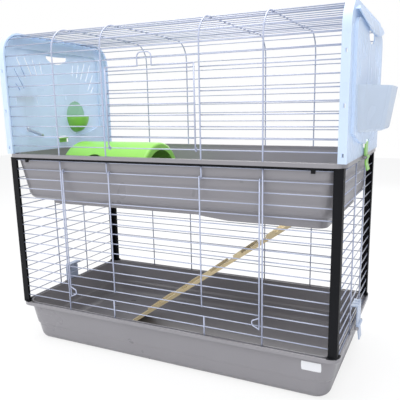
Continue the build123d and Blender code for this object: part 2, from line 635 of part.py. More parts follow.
def upper_door():
    """Return the small front door of the upper storey with its spring tongue."""
    hinge_z = UPPER_FIRST_ROW_Z + ROW_PITCH
    y = -DOOR_VERTICAL_Y
    half = UPPER_DOOR_HALF_X
    rods = []
    for x in (-half, half):
        rods.append(rod((x, y, hinge_z), (x, y, UPPER_DOOR_TOP_Z), VERTICAL_R))
        rods.append(Pos(x, y, UPPER_DOOR_TOP_Z) * Sphere(VERTICAL_R + 0.2))
        rods.append(pivot_eye(x, hinge_z))
    for index in range(UPPER_DOOR_FIRST_ROW, UPPER_DOOR_LAST_ROW + 1):
        z = UPPER_FIRST_ROW_Z + index * ROW_PITCH
        rods.append(rod((-half, -DOOR_ROW_Y, z), (half, -DOOR_ROW_Y, z), ROW_R))
    top = UPPER_DOOR_TOP_Z
    rods.append(rod((-half, y, top), (TONGUE_X0, y, top), VERTICAL_R))
    rods.append(rod((TONGUE_X1, y, top), (half, y, top), VERTICAL_R))
    crest = top + TONGUE_RISE
    points = [(TONGUE_X0, y, top), (TONGUE_X0, y, crest), (TONGUE_X1, y, crest), (TONGUE_X1, y, top)]
    rods.append(bent_rod(points, 12.0, LOOP_R))
    for x in (TONGUE_X0, TONGUE_X1):
        rods.append(Pos(x, y, top) * Sphere(VERTICAL_R + 0.2))
    solids = []
    for piece in rods:
        solids.extend(piece.solids())
    return weld(solids)


def end_profile(offset):
    """Return the arched end outline in the YZ plane, moved out by an offset."""
    side = WIRE_Y + offset
    reach = BEND_R + offset
    top = ROOF_Z + offset
    centre = BEND_CENTRE_Y
    mid = centre + reach * math.sqrt(0.5)
    mid_z = BEND_START_Z + reach * math.sqrt(0.5)
    outline = [
        Edge.make_line((-side, UPPER_RIM_Z), (-side, BEND_START_Z)),
        Edge.make_three_point_arc((-side, BEND_START_Z), (-mid, mid_z), (-centre, top)),
        Edge.make_line((-centre, top), (centre, top)),
        Edge.make_three_point_arc((centre, top), (mid, mid_z), (side, BEND_START_Z)),
        Edge.make_line((side, BEND_START_Z), (side, UPPER_RIM_Z)),
        Edge.make_line((side, UPPER_RIM_Z), (-side, UPPER_RIM_Z)),
    ]
    return Sketch() + Face(Wire(outline))


def above_arc(half, side_z, mid_z, top_z):
    """Return the region above an arc that dips in the middle."""
    outline = [
        Edge.make_three_point_arc((-half, side_z), (0, mid_z), (half, side_z)),
        Edge.make_line((half, side_z), (half, top_z)),
        Edge.make_line((half, top_z), (-half, top_z)),
        Edge.make_line((-half, top_z), (-half, side_z)),
    ]
    return Sketch() + Face(Wire(outline))


def push(sketch, x0, x1):
    """Return a YZ sketch pushed out between two X values."""
    return extrude(Plane.YZ.offset(x0) * sketch, amount=x1 - x0, dir=(1, 0, 0))


def hood_wedge(drop):
    """Return the sloping block that shapes the hood, thinned by a drop."""
    x0 = PANEL_OUTER_X
    reach = HOOD_REACH - drop
    points = [
        (x0, HOOD_MID_Z - 20),
        (x0 + reach, HOOD_MID_Z - 20),
        (x0 + reach, HOOD_FULL_Z),
        (x0 + HOOD_TOP_REACH - drop * 0.9, ROOF_Z + PANEL_OUTSET - drop),
        (x0, ROOF_Z + PANEL_OUTSET - drop),
    ]
    face = Sketch() + Face(Wire.make_polygon([(x, 0, z) for x, z in points], close=True))
    wedge = extrude(face, amount=CAGE_DEPTH / 2, dir=(0, 1, 0))
    return wedge + extrude(face, amount=CAGE_DEPTH / 2, dir=(0, -1, 0))


def end_panel():
    """Return the right end panel without the openings of its fittings."""
    skin = PANEL_SKIN
    outer_x = PANEL_OUTER_X
    panel = push(end_profile(PANEL_OUTSET), PANEL_FLANGE_X, outer_x)
    panel = panel - push(end_profile(-PANEL_INSET), PANEL_FLANGE_X, outer_x - skin)
    slot = ROW_R + SLOT_CLEARANCE
    panel = panel - push(end_profile(slot) - end_profile(-slot), PANEL_FLANGE_X, PANEL_SLOT_X)
    wide = CAGE_DEPTH / 2
    half = FIELD_ARC_HALF_Y
    field = end_profile(FIELD_MARGIN) & above_arc(half, FIELD_SIDE_Z, FIELD_MID_Z, ROOF_Z)
    pocket = end_profile(FIELD_MARGIN - skin)
    pocket = pocket & above_arc(half, FIELD_SIDE_Z + skin, FIELD_MID_Z + skin, ROOF_Z)
    edge = -HOOD_EDGE_INSET
    hood = end_profile(edge) & above_arc(wide, HOOD_SIDE_Z + 14, HOOD_MID_Z, ROOF_Z + 20)
    hollow = end_profile(edge - skin) & above_arc(wide, HOOD_SIDE_Z, HOOD_MID_Z - 14, ROOF_Z + 20)
    panel = panel + push(field, outer_x - 1, SKIN_X)
    canopy = push(hood, outer_x - 1, outer_x + HOOD_REACH) & (
        hood_wedge(0) + block(outer_x - 1, outer_x, -wide, wide, HOOD_MID_Z - 20, ROOF_Z + PANEL_OUTSET))
    under = push(hollow, outer_x, outer_x + HOOD_REACH) & hood_wedge(skin)
    under = under - push(field, outer_x - 1, SKIN_X)
    panel = panel + (canopy - under)
    panel = panel - push(pocket, outer_x - skin - 1, SKIN_X - skin)
    hand = Sketch() + Face(Wire([
        Edge.make_line((-HAND_HALF_Y, HAND_TOP_Z), (HAND_HALF_Y, HAND_TOP_Z)),
        Edge.make_line((HAND_HALF_Y, HAND_TOP_Z), (HAND_HALF_Y, HAND_SIDE_Z)),
        Edge.make_three_point_arc((HAND_HALF_Y, HAND_SIDE_Z), (0, HAND_LOW_Z), (-HAND_HALF_Y, HAND_SIDE_Z)),
        Edge.make_line((-HAND_HALF_Y, HAND_SIDE_Z), (-HAND_HALF_Y, HAND_TOP_Z)),
    ]))
    panel = panel - push(hand, outer_x - 10, SKIN_X + 1)
    for inset0, z0, inset1, z1 in VENTS:
        y0 = CAGE_DEPTH / 2 - inset0
        y1 = CAGE_DEPTH / 2 - inset1
        for sign in (-1, 1):
            length = math.hypot(y1 - y0, z1 - z0)
            turn = math.degrees(math.atan2(z1 - z0, sign * (y1 - y0)))
            middle = Pos(sign * (y0 + y1) / 2, BEND_START_Z + (z0 + z1) / 2)
            mark = middle * Rot(0, 0, turn) * SlotOverall(length, VENT_WIDTH)
            panel = panel - push(mark, outer_x - 10, SKIN_X + 1)
    for inset, z, height in PEEPS:
        middle = Pos(CAGE_DEPTH / 2 - inset, BEND_START_Z + z)
        mark = middle * Rot(0, 0, 90) * SlotOverall(height, PEEP_WIDTH)
        panel = panel - push(mark, outer_x - 10, SKIN_X + 1)
    for rise in LATCH_RISES:
        z = UPPER_RIM_Z + rise
        x = outer_x - LATCH_INSET
        half = LATCH_HEIGHT / 2
        for sign in (-1, 1):
            cut = block(x - LATCH_WIDTH / 2, x + LATCH_WIDTH / 2, sign * (WIRE_Y - 5), sign * (WIRE_Y + 9),
                        z - half, z + half)
            panel = panel - cut
    half = CLIP_SLOT_HALF_Y
    return panel - block(outer_x - 10, SKIN_X + 1, -half, half, CLIP_SLOT_Z0, CLIP_SLOT_Z1)


def feeder_outline(gap):
    """Return the arched outline of the feeder plate grown by a gap, centred on its pivot."""
    half = FEEDER_HALF_W + gap
    upper = Ellipse(half, FEEDER_RISE + gap) & Pos(0, 60) * Rectangle(200, 120)
    lower = Ellipse(half, FEEDER_DROP + gap) & Pos(0, -60) * Rectangle(200, 120)
    return Pos(0, FEEDER_RIM_Z) * (upper + lower)


def spout_axis():
    """Return the bend point, the tip and the unit direction of the spout."""
    bend = Vector(BOTTLE_X, BOTTLE_Y, SPOUT_BEND_Z)
    tip = Vector(SPOUT_TIP_X, BOTTLE_Y, SPOUT_TIP_Z)
    return bend, tip, (tip - bend).normalized()


def left_end_panel():
    """Return the left end panel, the right one turned half round, with its two openings."""
    panel = Rot(0, 0, 180) * end_panel()
    window = push(Pos(FEEDER_Y, 0) * feeder_outline(WINDOW_GAP), -SKIN_X - 1, -PANEL_OUTER_X + 10)
    panel = panel - window
    bend, tip, way = spout_axis()
    panel = panel - rod(tuple(bend + way * 20), tuple(tip), SPOUT_HOLE_R)
    pin_x = -SKIN_X + PANEL_SKIN / 2
    low = (pin_x, FEEDER_Y, FEEDER_RIM_Z - FEEDER_DROP - 6)
    high = (pin_x, FEEDER_Y, FEEDER_RIM_Z + FEEDER_RISE + 6)
    for y_dir, end in ((-1, low), (1, high)):
        inner = (pin_x, FEEDER_Y, end[2] - y_dir * 8)
        boss = rod(inner, end, FEEDER_PIN_R + 2.4)
        inside = rod((inner[0], inner[1], inner[2] - y_dir), end, FEEDER_PIN_R + PIVOT_GAP)
        outline = push(Pos(FEEDER_Y, 0) * feeder_outline(WINDOW_GAP), -SKIN_X - 5, -PANEL_OUTER_X + 10)
        boss = boss - outline
        panel = panel + boss
        panel = panel - inside
    return panel


def hay_hopper():
    """Return the clip on hay hopper with an open top and an open back."""
    def section(outline, grow, back, z):
        points = [(SKIN_X + x - grow, y - grow) for x, y in outline]
        points[0] = (SKIN_X + back, outline[0][1] - grow)
        ring = points + [(x, -y) for x, y in reversed(points)]
        return Sketch() + Face(Wire.make_polygon([(x, y, z) for x, y in ring], close=True))

    low = section(HOPPER_BOTTOM, 0, 0, HOPPER_BOTTOM_Z)
    high = section(HOPPER_TOP, 0, 0, HOPPER_TOP_Z)
    outer = loft([low, high], ruled=True)
    edges = outer.edges().filter_by(lambda e: abs(e.center().Z - HOPPER_BOTTOM_Z) < 0.01)
    edges = edges.filter_by(lambda e: e.center().X > SKIN_X + 1)
    outer = fillet(edges, 9.0)
    wall = HOPPER_WALL
    low = section(HOPPER_BOTTOM, wall, -5, HOPPER_BOTTOM_Z + wall)
    high = section(HOPPER_TOP, wall, -5, HOPPER_TOP_Z)
    inner = loft([low, high], ruled=True)
    lid = extrude(high, amount=5, dir=(0, 0, 1))
    return outer - inner - lid


def feeder_plate():
    """Return the arched back plate of the swivel feeder with its pivot pins."""
    plate_x = -SKIN_X + PANEL_SKIN / 2
    half = FEEDER_PLATE / 2
    plate = push(Pos(FEEDER_Y, 0) * feeder_outline(0), plate_x - half, plate_x + half)
    low = FEEDER_RIM_Z - FEEDER_DROP
    high = FEEDER_RIM_Z + FEEDER_RISE
    plate = plate + rod((plate_x, FEEDER_Y, low - 5), (plate_x, FEEDER_Y, low + 8), FEEDER_PIN_R)
    return plate + rod((plate_x, FEEDER_Y, high - 8), (plate_x, FEEDER_Y, high + 5), FEEDER_PIN_R)


def feeder_bowl():
    """Return the half bowl fixed to the inner face of the feeder plate."""
    face_x = -SKIN_X + PANEL_SKIN / 2 + FEEDER_PLATE / 2

    def dome(radius, drop):
        points = []
        for index in range(13):
            angle = index * math.pi / 24
            points.append((radius * math.cos(angle), 0, -drop * math.sin(angle)))
        curve = Edge.make_spline(points, tangents=[(0, 0, -1), (-1, 0, 0)])
        edges = [curve, Edge.make_line((0, 0, -drop), (0, 0, 0)), Edge.make_line((0, 0, 0), (radius, 0, 0))]
        return revolve(Sketch() + Face(Wire(edges)), axis=Axis.Z, revolution_arc=360)

    outer = dome(FEEDER_HALF_W - 1, FEEDER_DROP - 1)
    inner = dome(FEEDER_HALF_W - 1 - BOWL_WALL, FEEDER_DROP - 1 - BOWL_WALL)
    shell = Pos(face_x, FEEDER_Y, FEEDER_RIM_Z) * (outer - inner)
    wide = FEEDER_HALF_W + 14
    low = FEEDER_RIM_Z - FEEDER_DROP - 13
    return shell - block(face_x - wide, face_x, FEEDER_Y - wide, FEEDER_Y + wide, low, FEEDER_RIM_Z + 1)


def bottle_body():
    """Return the hollow bottle, upside down with its neck in the cap."""
    def flask(shrink, neck_bottom):
        body = Pos(BOTTLE_X, BOTTLE_Y, (BOTTLE_Z0 + BOTTLE_Z1) / 2) * Cylinder(
            BOTTLE_R - shrink, BOTTLE_Z1 - BOTTLE_Z0 - 2 * shrink)
        body = fillet(body.edges(), 9.0)
        low = (BOTTLE_X, BOTTLE_Y, neck_bottom)
        return body + rod(low, (BOTTLE_X, BOTTLE_Y, BOTTLE_Z0 + 12), NECK_R - shrink)
    neck = BOTTLE_Z0 - CAP_HEIGHT + 4
    return flask(0, neck) - flask(2.0, neck - 1)


def bottle_cap():
    """Return the screw cap with a hole for the spout."""
    z0 = BOTTLE_Z0 - CAP_HEIGHT
    centre = (BOTTLE_X, BOTTLE_Y)
    cap = rod((*centre, z0), (*centre, BOTTLE_Z0 - 0.2), CAP_R)
    cap = cap.fuse(rod((*centre, z0 - 4), (*centre, z0), CAP_R - 8))
    cap = cap.cut(rod((*centre, z0 + 4), (*centre, BOTTLE_Z0 + 1), NECK_R))
    return cap.cut(rod((*centre, z0 - 5), (*centre, z0 + 6), SPOUT_R))


def bottle_spout():
    """Return the bent steel drinking tube."""
    bend, tip, way = spout_axis()
    points = [(BOTTLE_X, BOTTLE_Y, BOTTLE_Z0 - CAP_HEIGHT + 12), tuple(bend), tuple(tip)]
    tube = bent_rod(points, 6.0, SPOUT_R)
    return tube - rod(tuple(tip - way * 12), tuple(tip + way), SPOUT_R - 1.5)


def bottle_cradle():
    """Return the open cradle that holds the bottle on the panel."""
    back = -SKIN_X
    inner = BOTTLE_R + CRADLE_GAP
    outer = inner + CRADLE_WALL
    block_in = block(BOTTLE_X, back, BOTTLE_Y - outer, BOTTLE_Y + outer, CRADLE_Z0, CRADLE_Z1)
    bore = rod((BOTTLE_X, BOTTLE_Y, CRADLE_Z0 - 1), (BOTTLE_X, BOTTLE_Y, CRADLE_Z1 + 1), inner)
    trough = block(BOTTLE_X - 1, BOTTLE_X, BOTTLE_Y - inner, BOTTLE_Y + inner, CRADLE_Z0 - 1, CRADLE_Z1 + 1)
    return block_in - bore - trough


def green_clip(side):
    """Return one S shaped clip that holds an end panel on the upper rim."""
    arm = CLIP_ARM
    half = GREEN_HALF_Y
    pin = (CLIP_PIN_X, GREEN_PIN_Z)
    x0 = CLIP_ARM_X
    clip = rod((pin[0], -half, pin[1]), (pin[0], half, pin[1]), CLIP_BARREL_R)
    clip = clip + block(x0, x0 + arm, -half, half, pin[1], GREEN_TOP_Z)
    clip = clip + block(GREEN_NOSE_X, x0 + arm, -half, half, GREEN_TOP_Z - arm, GREEN_TOP_Z)
    low = pin[1] - 16
    clip = clip + block(x0 + 2, x0 + 2 + arm, -half, half, low, pin[1])
    tail = Face(Wire.make_polygon([
        (x0 + 2, -half, low), (x0 + 2 + arm, -half, low),
        (x0 + 2 + arm + CLIP_TAIL_OUT, -half, GREEN_LOW_Z), (x0 + 2 + CLIP_TAIL_OUT, -half, GREEN_LOW_Z),
    ], close=True))
    clip = clip + extrude(Sketch() + tail, amount=2 * half, dir=(0, 1, 0))
    clip = clip - rod((pin[0], -half - 1, pin[1]), (pin[0], half + 1, pin[1]), CLIP_PIN_R + CLIP_BORE_GAP)
    return clip if side > 0 else Rot(0, 0, 180) * clip


def blue_clip(side):
    """Return one grey blue clip that holds a side wire panel on the lower rim."""
    arm = CLIP_ARM
    half = BLUE_HALF_Y
    pin = (CLIP_PIN_X, BLUE_PIN_Z)
    x0 = CLIP_ARM_X
    clip = rod((pin[0], -half, pin[1]), (pin[0], half, pin[1]), CLIP_BARREL_R)
    clip = clip + block(x0, x0 + arm, -half, half, pin[1], BLUE_FINGER_Z - 14)
    finger = 2 * half / 3
    for index in range(3):
        y0 = -half + index * finger + 1.5
        y1 = -half + (index + 1) * finger - 1.5
        clip = clip + block(x0, x0 + arm, y0, y1, BLUE_FINGER_Z - 15, BLUE_FINGER_Z + arm)
        clip = clip + block(BLUE_FINGER_X, x0 + arm, y0, y1, BLUE_FINGER_Z, BLUE_FINGER_Z + arm)
    y = -half * 0.6
    foot = x0 + 1 + CLIP_TAIL_OUT
    tail = Face(Wire.make_polygon([
        (x0 + 1, y, pin[1]), (x0 + 1 + arm, y, pin[1]), (foot + arm, y, BLUE_LOW_Z), (foot, y, BLUE_LOW_Z),
    ], close=True))
    clip = clip + extrude(Sketch() + tail, amount=1.2 * half, dir=(0, 1, 0))
    clip = clip - rod((pin[0], -half - 1, pin[1]), (pin[0], half + 1, pin[1]), CLIP_PIN_R + CLIP_BORE_GAP)
    return clip if side > 0 else Rot(0, 0, 180) * clip


def clip_pins(pin_z, half_y):
    """Return the two steel pins of a pair of clips."""
    reach = half_y + EAR_GAP + EAR_WIDTH
    pins = []
    for side in (-1, 1):
        x = side * CLIP_PIN_X
        pins.append(rod((x, -reach, pin_z), (x, reach, pin_z), CLIP_PIN_R))
    return Compound(children=pins)


RAMP_SLOPE = math.atan2(RAMP_TOP_Z - TRAY_FLOOR - RAMP_FOOT_GAP, RAMP_TOP_X - RAMP_FOOT_X)


def ramp_plane():
    """Return the plane of the ramp's upper face, X up the slope, at the foot."""
    along = (math.cos(RAMP_SLOPE), 0, math.sin(RAMP_SLOPE))
    up = (-math.sin(RAMP_SLOPE), 0, math.cos(RAMP_SLOPE))
    return Plane(origin=(RAMP_FOOT_X, 0, TRAY_FLOOR + RAMP_FOOT_GAP), x_dir=along, z_dir=up)


def ramp_length():
    """Return the length of the ramp's upper face."""
    return (RAMP_TOP_X - RAMP_FOOT_X) / math.cos(RAMP_SLOPE)


def ramp_board():
    """Return the pine board of the ramp, cut level at the foot."""
    half = RAMP_WIDTH / 2
    board = ramp_plane() * block(-20, ramp_length(), -half, half, -RAMP_THICK, 0)
    floor_z = TRAY_FLOOR + RAMP_FOOT_GAP
    return board - block(RAMP_FOOT_X - 100, RAMP_FOOT_X + 200, -half - 1, half + 1, floor_z - 60, floor_z)


def ramp_battens():
    """Return the cross battens on the ramp."""
    half = RAMP_WIDTH / 2
    pieces = []
    for index in range(BATTEN_COUNT):
        x = BATTEN_FIRST_X + index * BATTEN_PITCH_X
        along = (x - RAMP_FOOT_X) / math.cos(RAMP_SLOPE)
        w = BATTEN_WIDTH / 2
        batten = ramp_plane() * block(along - w, along + w, -half, half, 0, BATTEN_HEIGHT)
        pieces.extend(batten.solids())
    return Compound(children=pieces)


def ramp_hooks():
    """Return the two wire hooks that hang the ramp on the hatch edge."""
    pieces = []
    rest_z = UPPER_FLOOR_Z + PIVOT_GAP + HOOK_R
    plane = ramp_plane()
    length = ramp_length()
    for y in (-HOOK_Y, HOOK_Y):
        low = plane.from_local_coords((length - 30, y, -RAMP_THICK / 2))
        end = plane.from_local_coords((length, y, -RAMP_THICK / 2))
        points = [tuple(low), (end.X + 2, y, end.Z + 1.4), (end.X + 2, y, rest_z), (HOOK_REST_X, y, rest_z)]
        pieces.append(bent_rod(points, 2.5, HOOK_R))
    return pieces


def arch(half, straight, margin):
    """Return an arched outline standing on zero."""
    body = Pos(0, straight / 2) * Rectangle(2 * half, straight)
    return body + Pos(0, straight) * (Circle(half) & Pos(0, half) * Rectangle(2 * half + margin, 2 * half))


def hide_body(shrink, drop):
    """Return the rounded arch of the hide, drawn in all round and let down below its foot."""
    base = UPPER_FLOOR_Z + HIDE_GAP - drop
    outline = arch(HIDE_HALF_Y - shrink, HIDE_SPRING + drop, 1)
    body = push(Pos(0, base) * outline, HIDE_X0 + shrink, HIDE_X1 - shrink)
    for place, radius in ((0, HIDE_BACK_ROUND), (-1, HIDE_DOOR_ROUND)):
        face = body.faces().sort_by(Axis.X)[place]
        edges = face.edges().filter_by(lambda e: e.center().Z > base + 1)
        body = fillet(edges, radius - shrink)
    return body


def hide():
    """Return the arched hide with an end doorway and a small front doorway."""
    base = UPPER_FLOOR_Z + HIDE_GAP
    door = push(Pos(0, base - 1) * arch(HIDE_DOOR_HALF, HIDE_DOOR_SIDE + 1, 1), HIDE_X1 - 20, HIDE_X1 + 1)
    shell = hide_body(0, 0) - hide_body(HIDE_WALL, 1) - door
    small = Plane.XZ * (Pos(FRONT_DOOR_X, base - 1) * arch(FRONT_DOOR_HALF, FRONT_DOOR_SIDE, 1))
    return shell - extrude(small, amount=HIDE_HALF_Y + 5)


nodes = {
    "lower_tray": lower_tray(),
    "upper_tray": upper_tray(),
    "top_rail_front": top_rail(-1),
    "top_rail_rear": top_rail(1),
    "lower_front_panel": lower_front_panel(),
    "lower_rear_panel": lower_rear_panel(),
    "lower_left_panel": lower_side_panel(-1),
    "lower_right_panel": lower_side_panel(1),
    "lower_door": lower_door(),
    "upper_front_sheet": upper_sheet(-1, FRONT_LAST_ROW, True),
    "upper_rear_sheet": upper_sheet(1, REAR_LAST_ROW, False),
    "roof_sheet": roof_panel(),
    "upper_door": upper_door(),
    "end_panel_right": end_panel(),
    "end_panel_left": left_end_panel(),
    "hay_hopper": hay_hopper(),
    "feeder_plate": feeder_plate(),
    "feeder_bowl": feeder_bowl(),
    "bottle_body": bottle_body(),
    "bottle_cap": bottle_cap(),
    "bottle_spout": bottle_spout(),
    "bottle_cradle": bottle_cradle(),
    "panel_clip_left": green_clip(-1),
    "panel_clip_right": green_clip(1),
    "tray_clip_left": blue_clip(-1),
    "tray_clip_right": blue_clip(1),
    "panel_clip_pins": clip_pins(GREEN_PIN_Z, GREEN_HALF_Y),
    "tray_clip_pins": clip_pins(BLUE_PIN_Z, BLUE_HALF_Y),
    "ramp_board": ramp_board(),
    "ramp_battens": ramp_battens(),
    "hide": hide(),
}
for name, sx, sy in (
    ("corner_post_front_left", -1, -1),
    ("corner_post_front_right", 1, -1),
    ("corner_post_rear_left", -1, 1),
    ("corner_post_rear_right", 1, 1),
):
    nodes[name] = corner_post(sx, sy)

# The board is relieved for the wire hooks that are let into it.
hooks = ramp_hooks()
for hook in hooks:
    nodes["ramp_board"] = nodes["ramp_board"] - hook
nodes["ramp_hooks"] = Compound(children=[solid for hook in hooks for solid in hook.solids()])

for name, shape in nodes.items():
    export_step(shape, "parts/" + name + ".step")
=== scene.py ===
"""Looks of a two storey rabbit cage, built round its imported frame.

Lengths are in metres. X runs along the cage, the doors face -Y and Z is up.
"""

import json
import logging
import math
from dataclasses import dataclass, field
from enum import Enum
from typing import Any, Iterable, Sequence

import bmesh
import bpy
from mathutils import Matrix, Vector


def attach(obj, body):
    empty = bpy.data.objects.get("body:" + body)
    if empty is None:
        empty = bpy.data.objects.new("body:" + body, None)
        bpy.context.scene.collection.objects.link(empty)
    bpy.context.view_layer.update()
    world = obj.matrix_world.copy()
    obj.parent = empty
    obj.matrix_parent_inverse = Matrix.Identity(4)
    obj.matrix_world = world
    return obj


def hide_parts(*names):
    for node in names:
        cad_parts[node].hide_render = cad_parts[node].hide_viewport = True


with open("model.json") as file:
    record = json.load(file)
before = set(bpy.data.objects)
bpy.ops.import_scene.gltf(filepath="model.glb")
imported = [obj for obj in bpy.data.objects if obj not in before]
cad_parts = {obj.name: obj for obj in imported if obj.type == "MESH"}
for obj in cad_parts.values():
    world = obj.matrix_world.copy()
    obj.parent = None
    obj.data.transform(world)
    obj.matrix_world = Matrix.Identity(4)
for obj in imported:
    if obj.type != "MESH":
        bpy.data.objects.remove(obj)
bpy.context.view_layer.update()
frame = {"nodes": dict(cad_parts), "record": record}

LOG = logging.getLogger("rabbit_cage")

Point = tuple[float, float, float]
Colour = tuple[float, float, float]
Span = tuple[float, float]

# The curve between screen values and linear light.
SRGB_KNEE = 0.04045
SRGB_SLOPE = 12.92
SRGB_SHIFT = 0.055
SRGB_POWER = 2.4

# Sockets of a Mix node that mixes colours.
MIX_FIRST = 6
MIX_SECOND = 7
MIX_RESULT = 2

WHITE: Colour = (1.0, 1.0, 1.0)


def linear(red: int, green: int, blue: int) -> Colour:
    """Turn a screen colour of 0 to 255 into a linear one.

    Args:
        red: red channel.
        green: green channel.
        blue: blue channel.

    Returns:
        The three linear channels.
    """
    shares = (channel / 255 for channel in (red, green, blue))
    return tuple(
        share / SRGB_SLOPE if share <= SRGB_KNEE
        else ((share + SRGB_SHIFT) / (1 + SRGB_SHIFT)) ** SRGB_POWER
        for share in shares)


class Expr:
    """A number socket that answers to the usual operators with Math nodes."""

    def __init__(self, board: "Board", socket: bpy.types.NodeSocket) -> None:
        """Keep the socket and the board it belongs to."""
        self.board = board
        self.socket = socket

    def _math(self, kind: str, *values: Any) -> "Expr":
        """Return the result of a Math node on the given values."""
        return self.board.value("ShaderNodeMath", {"operation": kind}, *values)

    def __add__(self, other: Any) -> "Expr":
        """Return self + other."""
        return self._math("ADD", self, other)

    __radd__ = __add__

    def __mul__(self, other: Any) -> "Expr":
        """Return self * other."""
        return self._math("MULTIPLY", self, other)

    __rmul__ = __mul__

    def __sub__(self, other: Any) -> "Expr":
        """Return self - other."""
        return self._math("SUBTRACT", self, other)

    def clamp(self) -> "Expr":
        """Return self held between 0 and 1."""
        return self.board.value("ShaderNodeClamp", {}, self, 0.0, 1.0)

    def step(self, low: float, high: float) -> "Expr":
        """Return a smooth step of self from low to high."""
        return self.board.value(
            "ShaderNodeMapRange", {"interpolation_type": "SMOOTHSTEP"}, self, low, high, 0.0, 1.0)


class Board:
    """The node tree of one material, with one Principled shader."""

    def __init__(self, name: str) -> None:
        """Start a material with an empty tree.

        Args:
            name: the material's name.
        """
        self.material = bpy.data.materials.new(name)
        self.material.use_nodes = True
        self.tree = self.material.node_tree
        self.tree.nodes.clear()
        self.output = self.tree.nodes.new("ShaderNodeOutputMaterial")
        self.shader = self.tree.nodes.new("ShaderNodeBsdfPrincipled")
        self.tree.links.new(self.shader.outputs[0], self.output.inputs[0])

    def node(self, kind: str, settings: dict[str, Any], *values: Any,
             **named: Any) -> bpy.types.Node:
        """Add a node.

        Args:
            kind: the node's type.
            settings: its properties.
            values: what its first sockets take, in order; None leaves one alone.
            named: what sockets take by name, spaces written as underscores.

        Returns:
            The new node.
        """
        made = self.tree.nodes.new(kind)
        for key, value in settings.items():
            setattr(made, key, value)
        for socket, value in zip(made.inputs, values):
            self.feed(socket, value)
        for key, value in named.items():
            self.feed(made.inputs[key.replace("_", " ")], value)
        return made

    def feed(self, socket: bpy.types.NodeSocket, value: Any) -> None:
        """Set a socket to a value, or link it to another socket.

        Args:
            socket: the input socket.
            value: a number, a colour, a vector, a socket or an expression; None changes nothing.
        """
        if value is None:
            return
        if isinstance(value, Expr):
            value = value.socket
        if isinstance(value, bpy.types.NodeSocket):
            self.tree.links.new(value, socket)
        else:
            socket.default_value = (*value, 1.0) if socket.type == "RGBA" else value

    def value(self, kind: str, settings: dict[str, Any], *values: Any, **named: Any) -> Expr:
        """Add a node and return its first output as an expression."""
        return Expr(self, self.node(kind, settings, *values, **named).outputs[0])

    def place(self, scale: Point = (1, 1, 1), turn: Point = (0, 0, 0),
              coords: bpy.types.NodeSocket | None = None) -> bpy.types.NodeSocket:
        """Return coordinates, scaled and turned.

        Args:
            scale: factor along each axis.
            turn: angle about each axis.
            coords: what to start from, or else Object coordinates.

        Returns:
            The socket that gives them.
        """
        coords = coords or self.node("ShaderNodeTexCoord", {}).outputs["Object"]
        if scale == (1, 1, 1) and turn == (0, 0, 0):
            return coords
        return self.node("ShaderNodeMapping", {}, coords, None, turn, scale).outputs[0]

    def noise(self, scale: float, detail: float = 2.0, rough: float = 0.5,
              coords: bpy.types.NodeSocket | None = None) -> Expr:
        """Return a noise value between 0 and 1."""
        return self.value("ShaderNodeTexNoise", {}, Vector=coords or self.place(), Scale=scale,
                          Detail=detail, Roughness=rough)

    def blend(self, factor: Any, first: Any, second: Any) -> bpy.types.NodeSocket:
        """Return a mix of two colours.

        Args:
            factor: share of the second colour.
            first: the colour at 0.
            second: the colour at 1.

        Returns:
            The socket that gives the mix.
        """
        made = self.node("ShaderNodeMix", {"data_type": "RGBA"}, factor)
        self.feed(made.inputs[MIX_FIRST], first)
        self.feed(made.inputs[MIX_SECOND], second)
        return made.outputs[MIX_RESULT]

    def dress(self, **sockets: Any) -> None:
        """Set the Principled shader's sockets, by name with underscores."""
        for key, value in sockets.items():
            self.feed(self.shader.inputs[key.replace("_", " ")], value)

    def bump(self, height: Expr, strength: float, depth: float) -> bpy.types.NodeSocket:
        """Return a bumped normal."""
        return self.node("ShaderNodeBump", {}, Strength=strength, Distance=depth,
                         Height=height).outputs[0]


def toned(colour: Colour, factor: float) -> Colour:
    """Return a colour multiplied by a factor."""
    return colour[0] * factor, colour[1] * factor, colour[2] * factor


@dataclass(frozen=True)
class MouldedPlastic:
    """Moulded plastic with a faint mottle, a fine grain and worn gloss."""

    name: str
    colour: Colour
    rough: float = 0.32
    mottle: float = 0.06
    shine: float = 0.5
    ior: float = 1.48
    cloud_scale: float = 7.0
    cloud_rough: float = 0.10
    grain_scale: float = 900.0
    bump_strength: float = 0.35
    bump_depth: float = 0.00004
    scuff_scale: float = 38.0
    scuff_stretch: Point = (1.0, 1.0, 2.4)
    scuff_span: Span = (0.58, 0.78)
    scuff_rough: float = 0.12
    scuff_share: float = 0.3

    def material(self) -> bpy.types.Material:
        """Build the material.

        Returns:
            The material.
        """
        b = Board(self.name)
        cloud = b.noise(self.cloud_scale, detail=3.0, rough=0.55)
        grain = b.noise(self.grain_scale, rough=0.6)
        scuff = b.noise(self.scuff_scale, detail=5.0, rough=0.7, coords=b.place(self.scuff_stretch))
        scuff = scuff.step(*self.scuff_span)
        relief = grain * (1 - self.scuff_share) + scuff * self.scuff_share
        dark, light = toned(self.colour, 1 - self.mottle), toned(self.colour, 1 + self.mottle)
        b.dress(
            Base_Color=b.blend(cloud, dark, light),
            Roughness=(self.rough + self.cloud_rough * cloud + self.scuff_rough * scuff).clamp(),
            Normal=b.bump(relief, self.bump_strength, self.bump_depth),
            IOR=self.ior,
            Specular_IOR_Level=self.shine,
        )
        return b.material


